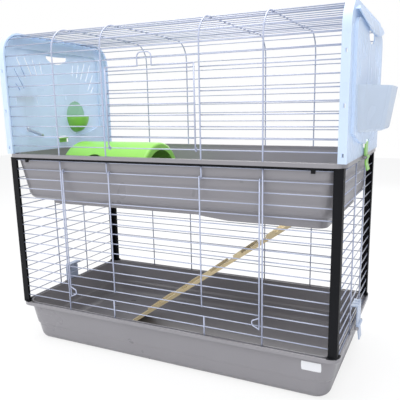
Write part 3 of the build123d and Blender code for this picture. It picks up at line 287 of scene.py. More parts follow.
@dataclass(frozen=True)
class MilkyPlastic:
    """Milky see-through plastic that lets some of the light from behind pass."""

    name: str
    colour: Colour
    rough: float = 0.22
    alpha: float = 0.84
    through: float = 0.25
    ior: float = 1.5
    tones: Span = (0.94, 1.05)
    flow_scale: float = 5.0
    flow_stretch: Point = (1.0, 1.0, 0.5)
    flow_rough: float = 0.12
    flow_alpha: float = 0.06
    grain_scale: float = 600.0
    bump_strength: float = 0.25
    bump_depth: float = 0.00003

    def material(self) -> bpy.types.Material:
        """Build the material.

        Returns:
            The material.
        """
        b = Board(self.name)
        flow = b.noise(self.flow_scale, detail=3.0, rough=0.6, coords=b.place(self.flow_stretch))
        grain = b.noise(self.grain_scale)
        base = b.blend(flow, *(toned(self.colour, tone) for tone in self.tones))
        b.dress(
            Base_Color=base,
            Roughness=self.rough + self.flow_rough * flow,
            Normal=b.bump(grain, self.bump_strength, self.bump_depth),
            Alpha=(self.alpha + self.flow_alpha * (flow - 0.5)).clamp(),
            IOR=self.ior,
        )
        glow = b.node("ShaderNodeBsdfTranslucent", {}, base)
        mixed = b.node("ShaderNodeMixShader", {}, self.through, b.shader.outputs[0], glow.outputs[0])
        b.tree.links.new(mixed.outputs[0], b.output.inputs[0])
        return b.material


@dataclass(frozen=True)
class CoatedWire:
    """Steel wire under a thin pale blue coat."""

    name: str
    colour: Colour
    rough: float = 0.26
    tones: Span = (0.9, 1.08)
    cloud_scale: float = 24.0
    cloud_rough: float = 0.14
    ripple_scale: float = 420.0
    bump_strength: float = 0.3
    bump_depth: float = 0.0001
    coat: float = 0.5
    cloud_coat: float = 0.3
    coat_rough: float = 0.12

    def material(self) -> bpy.types.Material:
        """Build the material.

        Returns:
            The material.
        """
        b = Board(self.name)
        cloud = b.noise(self.cloud_scale, detail=3.0, rough=0.6)
        ripple = b.noise(self.ripple_scale)
        b.dress(
            Base_Color=b.blend(cloud, *(toned(self.colour, tone) for tone in self.tones)),
            Roughness=self.rough + self.cloud_rough * cloud,
            Normal=b.bump(ripple, self.bump_strength, self.bump_depth),
            Coat_Weight=self.coat + self.cloud_coat * cloud,
            Coat_Roughness=self.coat_rough,
        )
        return b.material


@dataclass(frozen=True)
class PineWood:
    """Plain pine with grain lines that follow the slope of the ramp."""

    name: str
    light: Colour
    dark: Colour
    slope: float
    rough: float = 0.52
    ring_scale: float = 1.1
    ring_stretch: Point = (1.6, 26.0, 26.0)
    ring_wander: float = 6.0
    ring_share: float = 0.55
    fibre_scale: float = 160.0
    fibre_stretch: Point = (0.06, 1.0, 1.0)
    fibre_share: float = 0.35
    fibre_rough: float = 0.16
    bump_strength: float = 0.5
    bump_depth: float = 0.0003

    def material(self) -> bpy.types.Material:
        """Build the material.

        Returns:
            The material.
        """
        b = Board(self.name)
        level = b.place(turn=(0.0, self.slope, 0.0))
        rings = b.value("ShaderNodeTexWave", {"wave_type": "BANDS", "bands_direction": "Y"},
                        Vector=b.place(self.ring_stretch, coords=level), Scale=self.ring_scale,
                        Distortion=self.ring_wander, Detail=3.0, Detail_Scale=1.2)
        threads = b.place(self.fibre_stretch, coords=level)
        fibre = b.noise(self.fibre_scale, detail=3.0, rough=0.6, coords=threads)
        grain = (rings * self.ring_share + fibre * self.fibre_share).clamp()
        b.dress(
            Base_Color=b.blend(grain, self.light, self.dark),
            Roughness=self.rough + self.fibre_rough * fibre,
            Normal=b.bump(rings * 0.5 + fibre * 0.5, self.bump_strength, self.bump_depth),
        )
        return b.material


@dataclass(frozen=True)
class DrawnSteel:
    """Plain drawn steel."""

    name: str
    colour: Colour
    rough: float = 0.22
    tone: float = 0.85
    streak_scale: float = 300.0
    streak_stretch: Point = (1.0, 1.0, 0.2)
    streak_rough: float = 0.2
    bump_strength: float = 0.2
    bump_depth: float = 0.0001

    def material(self) -> bpy.types.Material:
        """Build the material.

        Returns:
            The material.
        """
        b = Board(self.name)
        drawn = b.place(self.streak_stretch)
        streak = b.noise(self.streak_scale, detail=3.0, rough=0.6, coords=drawn)
        b.dress(
            Base_Color=b.blend(streak, toned(self.colour, self.tone), self.colour),
            Metallic=1.0,
            Roughness=self.rough + self.streak_rough * streak,
            Normal=b.bump(streak, self.bump_strength, self.bump_depth),
        )
        return b.material


class Finish(Enum):
    """The finishes of the cage, each by its material slot in the record."""

    TRAY = "tray_plastic"
    BLACK = "black_plastic"
    WIRE = "coated_wire"
    PANEL = "panel_plastic"
    HOPPER = "hopper_plastic"
    GREEN = "green_plastic"
    GREEN_CLEAR = "green_clear"
    BLUE_GREY = "blue_grey_plastic"
    BOTTLE = "bottle_plastic"
    STEEL = "steel"
    PINE = "pine"
    LABEL = "bare_label"


RAMP_RISE = 0.4475
RAMP_RUN = 0.637

Recipe = MouldedPlastic | MilkyPlastic | CoatedWire | PineWood | DrawnSteel

RECIPES: dict[Finish, Recipe] = {
    Finish.TRAY: MouldedPlastic("tray_grey", linear(137, 135, 139), rough=0.24),
    Finish.BLACK: MouldedPlastic("post_black", linear(13, 14, 18), rough=0.5, shine=0.15),
    Finish.WIRE: CoatedWire("wire_coat", linear(168, 175, 197)),
    Finish.PANEL: MilkyPlastic("panel_milky_blue", linear(217, 232, 250), alpha=0.93),
    Finish.HOPPER: MilkyPlastic("hopper_milky_lilac", linear(214, 226, 240), alpha=0.94),
    Finish.GREEN: MouldedPlastic("hide_green", linear(139, 203, 87), rough=0.28, mottle=0.04),
    Finish.GREEN_CLEAR: MilkyPlastic("feeder_clear_green", linear(165, 208, 186), alpha=0.85),
    Finish.BLUE_GREY: MouldedPlastic("clip_blue_grey", linear(174, 187, 209), rough=0.3),
    Finish.BOTTLE: MilkyPlastic("bottle_blue", linear(180, 204, 228), alpha=0.6),
    Finish.STEEL: DrawnSteel("plain_steel", linear(200, 202, 206)),
    Finish.PINE: PineWood("ramp_pine", linear(232, 218, 182), linear(206, 184, 138),
                          slope=math.atan2(RAMP_RISE, RAMP_RUN)),
    Finish.LABEL: MouldedPlastic("label_bare", linear(226, 227, 230), rough=0.4, mottle=0.02),
}


class Palette:
    """The materials of the cage, made once each."""

    def __init__(self) -> None:
        """Start with no material."""
        self._made: dict[Finish, bpy.types.Material] = {}

    def get(self, finish: Finish) -> bpy.types.Material:
        """Return the material of a finish.

        Args:
            finish: which one.

        Returns:
            The material.
        """
        if finish not in self._made:
            self._made[finish] = RECIPES[finish].material()
        return self._made[finish]

    def paint(self, finish: Finish, *names: str) -> None:
        """Give CAD nodes that stay in view a material.

        Args:
            finish: which one.
            names: the nodes.
        """
        for name in names:
            data = frame["nodes"][name].data
            data.materials.clear()
            data.materials.append(self.get(finish))
            LOG.info("painted %s with %s", name, finish.value)


BEAD_SEGMENTS = 8
BEAD_RINGS = 5


class GeometryTree:
    """A Geometry Nodes tree with named inputs and a joined output."""

    def __init__(self, name: str, inputs: Sequence[tuple[str, str]]) -> None:
        """Start a tree.

        Args:
            name: the tree's name.
            inputs: pairs of an input's name and its socket type after the geometry.
        """
        self.tree = bpy.data.node_groups.new(name, "GeometryNodeTree")
        face = self.tree.interface
        face.new_socket(name="Geometry", in_out="INPUT", socket_type="NodeSocketGeometry")
        self.keys: dict[str, str] = {}
        for label, kind in inputs:
            socket = face.new_socket(name=label, in_out="INPUT", socket_type=kind)
            self.keys[label] = socket.identifier
        face.new_socket(name="Geometry", in_out="OUTPUT", socket_type="NodeSocketGeometry")
        self.source = self.tree.nodes.new("NodeGroupInput")
        self.sink = self.tree.nodes.new("NodeGroupOutput")

    def add(self, kind: str, settings: dict[str, Any] | None = None,
            **values: Any) -> bpy.types.Node:
        """Add a node.

        Args:
            kind: the node's type.
            settings: its properties.
            values: what its sockets take, by name with underscores.

        Returns:
            The new node.
        """
        made = self.tree.nodes.new(kind)
        for key, value in (settings or {}).items():
            setattr(made, key, value)
        for key, value in values.items():
            socket = made.inputs[key.replace("_", " ")]
            if isinstance(value, bpy.types.NodeSocket):
                self.tree.links.new(value, socket)
            else:
                socket.default_value = value
        return made

    def given(self, label: str) -> bpy.types.NodeSocket:
        """Return one of the tree's inputs."""
        return self.source.outputs[label]

    def close(self, geometry: bpy.types.NodeSocket) -> None:
        """End the tree in Set Shade Smooth, Realize Instances and Set Material.

        Args:
            geometry: what the tree has made.
        """
        smooth = self.add("GeometryNodeSetShadeSmooth", None, Geometry=geometry)
        real = self.add("GeometryNodeRealizeInstances", None, Geometry=smooth.outputs[0])
        coat = self.add("GeometryNodeSetMaterial", None, Geometry=real.outputs[0],
                        Material=self.given("Material"))
        self.tree.links.new(coat.outputs[0], self.sink.inputs[0])

    def grow(self, base: bpy.types.Mesh, values: dict[str, Any]) -> bpy.types.Mesh:
        """Run the tree on a mesh.

        Args:
            base: the mesh that the tree starts from.
            values: the tree's inputs by name.

        Returns:
            The plain mesh that comes out.
        """
        holder = bpy.data.objects.new("holder", base)
        bpy.context.scene.collection.objects.link(holder)
        modifier = holder.modifiers.new("grow", "NODES")
        modifier.node_group = self.tree
        for label, value in values.items():
            modifier[self.keys[label]] = value
        graph = bpy.context.evaluated_depsgraph_get()
        graph.update()
        result = bpy.data.meshes.new_from_object(holder.evaluated_get(graph), depsgraph=graph)
        holder.modifiers.remove(modifier)
        bpy.data.objects.remove(holder)
        return result


def rod_tree() -> GeometryTree:
    """Make the tree that stands a rod on every point.

    Returns:
        The tree. Each rod is as long as its point's "length" says.
    """
    g = GeometryTree("rods_on_points", (
        ("Radius", "NodeSocketFloat"), ("Sides", "NodeSocketInt"), ("Turn", "NodeSocketVector"),
        ("Material", "NodeSocketMaterial")))
    rod = g.add("GeometryNodeMeshCylinder", {"fill_type": "NGON"}, Vertices=g.given("Sides"),
                Radius=g.given("Radius"), Depth=1.0)
    length = g.add("GeometryNodeInputNamedAttribute", {"data_type": "FLOAT"}, Name="length")
    size = g.add("ShaderNodeCombineXYZ", None, X=1.0, Y=1.0, Z=length.outputs[0])
    spread = g.add("GeometryNodeInstanceOnPoints", None, Points=g.given("Geometry"),
                   Instance=rod.outputs["Mesh"], Rotation=g.given("Turn"), Scale=size.outputs[0])
    g.close(spread.outputs[0])
    return g


def path_tree() -> GeometryTree:
    """Make the tree that runs a round wire along every chain of edges.

    Returns:
        The tree.
    """
    g = GeometryTree("wire_on_path", (
        ("Radius", "NodeSocketFloat"), ("Sides", "NodeSocketInt"),
        ("Material", "NodeSocketMaterial")))
    chain = g.add("GeometryNodeMeshToCurve", None, Mesh=g.given("Geometry"))
    ring = g.add("GeometryNodeCurvePrimitiveCircle", None, Resolution=g.given("Sides"),
                 Radius=g.given("Radius"))
    tube = g.add("GeometryNodeCurveToMesh", None, Curve=chain.outputs[0],
                 Profile_Curve=ring.outputs[0], Fill_Caps=True)
    g.close(tube.outputs[0])
    return g


def bead_tree() -> GeometryTree:
    """Make the tree that sets a weld bead on every point.

    Returns:
        The tree.
    """
    g = GeometryTree("weld_beads", (
        ("Radius", "NodeSocketFloat"), ("Squash", "NodeSocketVector"),
        ("Material", "NodeSocketMaterial")))
    ball = g.add("GeometryNodeMeshUVSphere", None, Segments=BEAD_SEGMENTS, Rings=BEAD_RINGS,
                 Radius=g.given("Radius"))
    spread = g.add("GeometryNodeInstanceOnPoints", None, Points=g.given("Geometry"),
                   Instance=ball.outputs["Mesh"], Scale=g.given("Squash"))
    g.close(spread.outputs[0])
    return g


def mesh_of(points: Sequence[Point], chains: Sequence[Sequence[int]] = (),
            lengths: Sequence[float] | None = None) -> bpy.types.Mesh:
    """Return a bare mesh of points and edges.

    Args:
        points: the points.
        chains: runs of point numbers that are joined by edges.
        lengths: a length for each point, kept as an attribute.

    Returns:
        The mesh.
    """
    edges = [(a, b) for chain in chains for a, b in zip(chain, chain[1:])]
    made = bpy.data.meshes.new("bare")
    made.from_pydata([tuple(p) for p in points], edges, [])
    if lengths is not None:
        made.attributes.new("length", "FLOAT", "POINT").data.foreach_set("value", list(lengths))
    return made


def piece(name: str, meshes: Iterable[bpy.types.Mesh], body: str,
          stands_for: Sequence[str] = ()) -> bpy.types.Object:
    """Join meshes into one piece of the cage.

    Args:
        name: the piece's name.
        meshes: what it is made of; all have the same material.
        body: the CAD body it rides on.
        stands_for: CAD nodes that it replaces.

    Returns:
        The new object.
    """
    joined = bmesh.new()
    coat = None
    for mesh in meshes:
        joined.from_mesh(mesh)
        coat = coat or next((m for m in mesh.materials if m), None)
    # The node trees leave a mesh's first slot empty, and here the one slot has the material.
    for face in joined.faces:
        face.material_index = 0
    data = bpy.data.meshes.new(name)
    joined.to_mesh(data)
    joined.free()
    if coat:
        data.materials.append(coat)
    made = bpy.data.objects.new(name, data)
    bpy.context.scene.collection.objects.link(made)
    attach(made, body)
    if stands_for:
        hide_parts(*stands_for)
    LOG.info("built %s: %d faces on %s", name, len(data.polygons), body)
    return made


@dataclass(frozen=True)
class WireGauge:
    """The wire sizes and levels that every panel shares."""

    row_r: float = 0.0015
    upright_r: float = 0.002
    loop_r: float = 0.0017
    eye_r: float = 0.0018
    sides: int = 14
    bead_r: float = 0.0021
    bead_squash: Point = (1.15, 1.0, 1.0)
    sink: float = 0.0008
    stub: float = 0.001
    pitch: float = 0.02844
    front_y: float = 0.2405
    end_x: float = 0.4905
    outer_x: float = 0.306
    inner_x: float = 0.144
    lower_top_z: float = 0.58004
    lower_rows: int = 17
    gap_rows: tuple[int, int] = (2, 13)
    upper_gap_rows: tuple[int, int] = (2, 8)
    upper_first_z: float = 0.593
    bend_z: float = 0.881
    bend_r: float = 0.06
    bend_parts: int = 12
    ring_r: float = 0.0039
    ring_parts: int = 20

    @property
    def step(self) -> float:
        """Distance between the planes of the rows and of the uprights."""
        return self.row_r + self.upright_r - self.sink

    @property
    def uprights(self) -> tuple[float, float, float, float]:
        """The four upright places of a long panel."""
        return -self.outer_x, -self.inner_x, self.inner_x, self.outer_x

    def lower_z(self, index: int) -> float:
        """Return the height of a lower row, counted down from the top one."""
        return self.lower_top_z - index * self.pitch

    def sheet(self, index: int, offset: float = 0.0) -> tuple[float, float]:
        """Find how far out and how high an upper row lies.

        Args:
            index: the row, counted up from the tray rim and on over the roof.
            offset: distance out from the plane of the rows.

        Returns:
            The outward distance from the middle and the height.
        """
        length = index * self.pitch
        straight = self.bend_z - self.upper_first_z
        if length <= straight:
            return self.front_y + offset, self.upper_first_z + length
        angle = min((length - straight) / self.bend_r, math.pi / 2)
        flat = max(length - straight - self.bend_r * math.pi / 2, 0.0)
        reach = self.bend_r + offset
        out = self.front_y - self.bend_r + reach * math.cos(angle) - flat
        return out, self.bend_z + reach * math.sin(angle)


class WireShop:
    """The node trees and the coat that all wire work is made with."""

    def __init__(self, palette: Palette) -> None:
        """Make the trees once.

        Args:
            palette: where the coat comes from.
        """
        self.coat = palette.get(Finish.WIRE)
        self.rods = rod_tree()
        self.paths = path_tree()
        self.beads = bead_tree()


TURNS: dict[str, Point] = {
    "X": (0.0, math.pi / 2, 0.0),
    "Y": (math.pi / 2, 0.0, 0.0),
    "Z": (0.0, 0.0, 0.0),
}


def sweep(quarters: int, parts: int) -> list[float]:
    """Return the angles that split some quarter turns into even parts."""
    return [index * math.pi * quarters / (2 * parts) for index in range(parts + 1)]


def rounded(points: Sequence[Point], bend: float, parts: int = 6) -> list[Point]:
    """Round the corners of a run of points.

    Args:
        points: the corners, with the two ends.
        bend: radius of each bend.
        parts: steps round a bend.

    Returns:
        The finer run.
    """
    run = [tuple(points[0])]
    for before, corner, after in zip(points, points[1:], points[2:]):
        here = Vector(corner)
        back = (Vector(before) - here).normalized()
        on = (Vector(after) - here).normalized()
        half = back.angle(on) / 2
        centre = here + (back + on).normalized() * (bend / math.sin(half))
        start = here + back * (bend / math.tan(half)) - centre
        end = here + on * (bend / math.tan(half)) - centre
        for index in range(parts + 1):
            run.append(tuple(centre + start.slerp(end, index / parts).normalized() * bend))
    run.append(tuple(points[-1]))
    return run


@dataclass
class WireWork:
    """One welded piece of wire work: rods, bent wires and weld beads."""

    name: str
    node: str
    body: str
    gauge: WireGauge
    rods: dict[tuple[str, float], list[tuple[Point, float]]] = field(default_factory=dict)
    bends: dict[float, list[list[Point]]] = field(default_factory=dict)
    welds: list[Point] = field(default_factory=list)

    def rod(self, start: Point, end: Point, radius: float) -> None:
        """Add a straight rod.

        Args:
            start: one end.
            end: the other end, straight along X, Y or Z from it.
            radius: the rod's radius.
        """
        spans = [abs(b - a) for a, b in zip(start, end)]
        axis = "XYZ"[spans.index(max(spans))]
        centre = tuple((a + b) / 2 for a, b in zip(start, end))
        self.rods.setdefault((axis, radius), []).append((centre, max(spans)))

    def row(self, y: float, z: float, half: float, gap: float = 0.0) -> None:
        """Add a row along X.

        Args:
            y: its depth.
            z: its height.
            half: half of its length.
            gap: half of the gap in its middle, or 0 for none.
        """
        radius = self.gauge.row_r
        if gap:
            self.rod((-half, y, z), (-gap, y, z), radius)
            self.rod((gap, y, z), (half, y, z), radius)
        else:
            self.rod((-half, y, z), (half, y, z), radius)

    def bend(self, points: Sequence[Point], radius: float) -> None:
        """Add a bent wire; a run that ends where it starts is a closed ring."""
        self.bends.setdefault(radius, []).append([tuple(p) for p in points])

    def ring(self, x: float, z: float) -> None:
        """Add an eye that turns on a row of the front plane.

        Args:
            x: its place along the row.
            z: the row's height.
        """
        g = self.gauge
        points = [(x, -g.front_y + g.ring_r * math.cos(turn), z + g.ring_r * math.sin(turn))
                  for turn in sweep(4, g.ring_parts)[:-1]]
        self.bend(points + points[:1], g.eye_r)

    def build(self, shop: WireShop) -> bpy.types.Object:
        """Make the wire work as one mesh in place of its CAD node.

        Args:
            shop: the trees and the coat.

        Returns:
            The new object.
        """
        made = []
        sides = self.gauge.sides
        for (axis, radius), rods in self.rods.items():
            base = mesh_of([centre for centre, _ in rods], lengths=[length for _, length in rods])
            made.append(shop.rods.grow(base, {
                "Radius": radius, "Sides": sides, "Turn": TURNS[axis], "Material": shop.coat}))
        for radius, runs in self.bends.items():
            points: list[Point] = []
            chains = []
            for run in runs:
                closed = run[0] == run[-1]
                first = len(points)
                points.extend(run[:-1] if closed else run)
                chain = list(range(first, len(points)))
                chains.append(chain + [first] if closed else chain)
            made.append(shop.paths.grow(mesh_of(points, chains), {
                "Radius": radius, "Sides": sides, "Material": shop.coat}))
        made.append(shop.beads.grow(mesh_of(self.welds), {
            "Radius": self.gauge.bead_r, "Squash": self.gauge.bead_squash, "Material": shop.coat}))
        return piece(self.name, made, self.body, (self.node,))


@dataclass
class LowerStorey:
    """The four wire panels of the lower storey."""

    gauge: WireGauge
    post_x: float = 0.4823
    post_y: float = 0.2323
    side_y: float = 0.072

    def long_side(self, name: str, node: str, sign: int, with_door: bool) -> WireWork:
        """Lay out the front or the rear panel.

        Args:
            name: the piece's name.
            node: the CAD node it replaces.
            sign: -1 in front, 1 at the rear.
            with_door: whether the opening of the large door is left.

        Returns:
            The wire work.
        """
        g = self.gauge
        work = WireWork(name, node, "frame", g)
        y, out = sign * g.front_y, sign * (g.front_y + g.step)
        high, low = g.lower_top_z + g.stub, g.lower_z(g.lower_rows - 1) - g.stub
        first, last = g.gap_rows
        for index in range(g.lower_rows):
            gap = with_door and first <= index <= last
            work.row(y, g.lower_z(index), self.post_x, g.outer_x if gap else 0.0)
            for x in g.uprights:
                if not gap or abs(x) == g.outer_x:
                    work.welds.append((x, (y + out) / 2, g.lower_z(index)))
        for x in g.uprights:
            if with_door and abs(x) == g.inner_x:
                work.rod((x, out, g.lower_z(first - 1) - g.stub), (x, out, high), g.upright_r)
                work.rod((x, out, low), (x, out, g.lower_z(last + 1) + g.stub), g.upright_r)
            else:
                work.rod((x, out, low), (x, out, high), g.upright_r)
        return work

    def short_side(self, name: str, node: str, sign: int) -> WireWork:
        """Lay out an end panel.

        Args:
            name: the piece's name.
            node: the CAD node it replaces.
            sign: -1 at the left, 1 at the right.

        Returns:
            The wire work.
        """
        g = self.gauge
        work = WireWork(name, node, "frame", g)
        x, out = sign * g.end_x, sign * (g.end_x + g.step)
        high, low = g.lower_top_z + g.stub, g.lower_z(g.lower_rows - 1) - g.stub
        for index in range(g.lower_rows):
            z = g.lower_z(index)
            work.rod((x, -self.post_y, z), (x, self.post_y, z), g.row_r)
            work.welds.extend(((x + out) / 2, y, z) for y in (-self.side_y, self.side_y))
        for y in (-self.side_y, self.side_y):
            work.rod((out, y, low), (out, y, high), g.upright_r)
        return work

    def build(self, shop: WireShop) -> None:
        """Build the four panels.

        Args:
            shop: the trees and the coat.
        """
        self.long_side("wires_lower_front", "lower_front_panel", -1, True).build(shop)
        self.long_side("wires_lower_rear", "lower_rear_panel", 1, False).build(shop)
        self.short_side("wires_lower_left", "lower_left_panel", -1).build(shop)
        self.short_side("wires_lower_right", "lower_right_panel", 1).build(shop)


@dataclass
class UpperStorey:
    """The bent front and rear sheets and the roof sheet that hooks on them."""

    gauge: WireGauge
    first_half: float = 0.482
    row_half: float = 0.49
    roof_half: float = 0.477
    front_last: int = 14
    rear_last: int = 16
    roof_start: float = 0.0076
    roof_pitch: float = 0.0285
    roof_rows: int = 10
    roof_shift: float = 0.005
    hook: float = 0.0036
    hook_drop: float = 0.004
    hook_parts: int = 6

    def sheet(self, name: str, node: str, sign: int, last: int, with_door: bool) -> WireWork:
        """Lay out the front or the rear sheet.

        Args:
            name: the piece's name.
            node: the CAD node it replaces.
            sign: -1 in front, 1 at the rear.
            last: the last row, over the bend.
            with_door: whether the opening of the small door is left.

        Returns:
            The wire work.
        """
        g = self.gauge
        work = WireWork(name, node, "frame", g)
        for index in range(last + 1):
            out, z = g.sheet(index)
            half = self.first_half if index == 0 else self.row_half
            gap = with_door and g.upper_gap_rows[0] <= index <= g.upper_gap_rows[1]
            work.row(sign * out, z, half, g.inner_x if gap else 0.0)
            bead_out, bead_z = g.sheet(index, g.step / 2)
            work.welds.extend((x, sign * bead_out, bead_z) for x in g.uprights)
        reach = g.bend_r + g.step
        end_out, end_z = g.sheet(last, g.step)
        for x in g.uprights:
            run = [(x, sign * (g.front_y + g.step), g.upper_first_z - g.stub)]
            for turn in sweep(1, g.bend_parts):
                out = g.front_y - g.bend_r + reach * math.cos(turn)
                run.append((x, sign * out, g.bend_z + reach * math.sin(turn)))
            run.append((x, sign * (end_out - g.stub), end_z))
            work.bend(run, g.upright_r)
        return work

    def roof(self) -> WireWork:
        """Lay out the roof sheet with its hooked wires.

        Returns:
            The wire work.
        """
        g = self.gauge
        work = WireWork("wires_roof", "roof_sheet", "frame", g)
        front_out, level = g.sheet(self.front_last)
        rear_out, _ = g.sheet(self.rear_last)
        top = level + self.hook
        uprights = [side * (x - self.roof_shift) for side in (-1, 1) for x in (g.outer_x, g.inner_x)]
        for index in range(self.roof_rows):
            y = -front_out + self.roof_start + index * self.roof_pitch
            work.row(y, top - g.step, self.roof_half)
            work.welds.extend((x, y, top - g.step / 2) for x in uprights)
        arc = [(self.hook * math.sin(turn), level + self.hook * math.cos(turn))
               for turn in sweep(1, self.hook_parts)]
        for x in uprights:
            front = [(x, -front_out - out, z) for out, z in arc]
            rear = [(x, rear_out + out, z) for out, z in arc]
            tip = (x, -front_out - self.hook, level - self.hook_drop)
            tail = (x, rear_out + self.hook, level - self.hook_drop)
            work.bend([tip, *reversed(front), *rear, tail], g.upright_r)
        return work

    def build(self, shop: WireShop) -> None:
        """Build the three sheets.

        Args:
            shop: the trees and the coat.
        """
        self.sheet("wires_upper_front", "upper_front_sheet", -1, self.front_last, True).build(shop)
        self.sheet("wires_upper_rear", "upper_rear_sheet", 1, self.rear_last, False).build(shop)
        self.roof().build(shop)


@dataclass
class Doors:
    """The large lower door and the small upper door."""

    gauge: WireGauge
    lower_outer: float = 0.2985
    lower_inner: float = 0.1385
    loop_reach: float = 0.019
    loop_rise: float = 0.022
    loop_drop: float = 0.009
    loop_flat: float = 0.006
    loop_bend: float = 0.005
    upper_half: float = 0.1305
    upper_top_z: float = 0.83
    tongue_x: Span = (-0.03, 0.012)
    tongue_rise: float = 0.033
    tongue_bend: float = 0.012

    def lower(self) -> WireWork:
        """Lay out the large door with its eyes and finger loops.

        Returns:
            The wire work.
        """
        g = self.gauge
        work = WireWork("wires_lower_door", "lower_door", "lower_door", g)
        y = -g.front_y - g.ring_r
        first, last = g.gap_rows
        hinge, foot = g.lower_z(first - 1), g.lower_z(last + 1)
        for x in (-self.lower_outer, -self.lower_inner, self.lower_inner, self.lower_outer):
            outer = abs(x) == self.lower_outer
            low = foot - self.loop_drop if outer else g.lower_z(last) - g.stub
            work.rod((x, y, low), (x, y, hinge), g.upright_r)
            work.ring(x, hinge)
            for index in range(first, last + 1):
                work.welds.append((x, y + g.step / 2, g.lower_z(index)))
        for index in range(first, last + 1):
            work.row(y + g.step, g.lower_z(index), self.lower_outer)
        high, low = foot + self.loop_rise, foot - self.loop_drop + g.loop_r
        mid = (high + low) / 2
        for sign in (-1, 1):
            x = sign * self.lower_outer
            far = x - sign * self.loop_reach
            bends = [(far, y, mid + self.loop_flat), (far, y, mid - self.loop_flat)]
            work.bend(rounded([(x, y, high), *bends, (x, y, low)], self.loop_bend), g.loop_r)
        return work

    def upper(self) -> WireWork:
        """Lay out the small door with its spring tongue.

        Returns:
            The wire work.
        """
        g = self.gauge
        work = WireWork("wires_upper_door", "upper_door", "upper_door", g)
        y = -g.front_y - g.ring_r
        hinge, top, half = g.upper_first_z + g.pitch, self.upper_top_z, self.upper_half
        left, right = self.tongue_x
        first, last = g.upper_gap_rows
        for x in (-half, half):
            work.rod((x, y, hinge), (x, y, top), g.upright_r)
            work.ring(x, hinge)
            work.welds.append((x, y, top))
        for index in range(first, last + 1):
            z = g.upper_first_z + index * g.pitch
            work.row(y + g.step, z, half)
            work.welds.extend((x, y + g.step / 2, z) for x in (-half, half))
        work.rod((-half, y, top), (left, y, top), g.upright_r)
        work.rod((right, y, top), (half, y, top), g.upright_r)
        work.welds.extend(((left, y, top), (right, y, top)))
        crest = top + self.tongue_rise
        corners = [(left, y, top), (left, y, crest), (right, y, crest), (right, y, top)]
        work.bend(rounded(corners, self.tongue_bend), g.loop_r)
        return work

    def build(self, shop: WireShop) -> None:
        """Build both doors."""
        self.lower().build(shop)
        self.upper().build(shop)


@dataclass
class BareLabel:
    """The small bare label on the lower tray's front, which follows the wall round its corner."""

    half_x: float = 0.5
    half_y: float = 0.25
    x0: float = 0.406
    x1: float = 0.456
    z0: float = 0.084
    z1: float = 0.109
    trim: float = 0.0012
    sink: float = 0.0002
    thickness: float = 0.0005
    corner: float = 0.04
    top_inset: float = 0.0115
    body_top_z: float = 0.12
    slope: float = math.tan(math.radians(8.0))
    columns: int = 14
    rows: int = 4

    def wall(self, x: float, z: float, out: float) -> Point:
        """Find a point a little way out from the tray's front wall.

        Args:
            x: its place along the tray.
            z: its height.
            out: its distance from the wall.

        Returns:
            The point.
        """
        inset = self.top_inset + (self.body_top_z - z) * self.slope
        centre_x = self.half_x - inset - self.corner
        centre_y = -self.half_y + inset + self.corner
        reach = self.corner + out
        along = max(x - centre_x, 0.0)
        return x, centre_y - math.sqrt(max(reach * reach - along * along, 0.0)), z

    def build(self, palette: Palette) -> None:
        """Build the label as a thin curved plate.

        Args:
            palette: where its material comes from.
        """
        shell = bmesh.new()
        layers = []
        for out in (-self.sink, self.thickness):
            grid = []
            for j in range(self.rows + 1):
                z = self.z0 + (self.z1 - self.z0) * j / self.rows
                trim = self.trim if j in (0, self.rows) else 0.0
                x0, x1 = self.x0 + trim, self.x1 - trim
                places = [x0 + (x1 - x0) * i / self.columns for i in range(self.columns + 1)]
                grid.append([shell.verts.new(self.wall(x, z, out)) for x in places])
            layers.append(grid)
        back, face = layers
        for j in range(self.rows):
            for i in range(self.columns):
                shell.faces.new((face[j][i], face[j][i + 1], face[j + 1][i + 1], face[j + 1][i]))
                shell.faces.new((back[j + 1][i], back[j + 1][i + 1], back[j][i + 1], back[j][i]))
        rim_back, rim_face = (
            g[0] + [row[-1] for row in g[1:-1]] + g[-1][::-1] + [row[0] for row in g[-2:0:-1]]
            for g in layers)
        count = len(rim_back)
        for i in range(count):
            k = (i + 1) % count
            shell.faces.new((rim_back[i], rim_back[k], rim_face[k], rim_face[i]))
        bmesh.ops.recalc_face_normals(shell, faces=shell.faces)
        data = bpy.data.meshes.new("label")
        shell.to_mesh(data)
        shell.free()
        data.materials.append(palette.get(Finish.LABEL))
        piece("bare_label", [data], "frame")


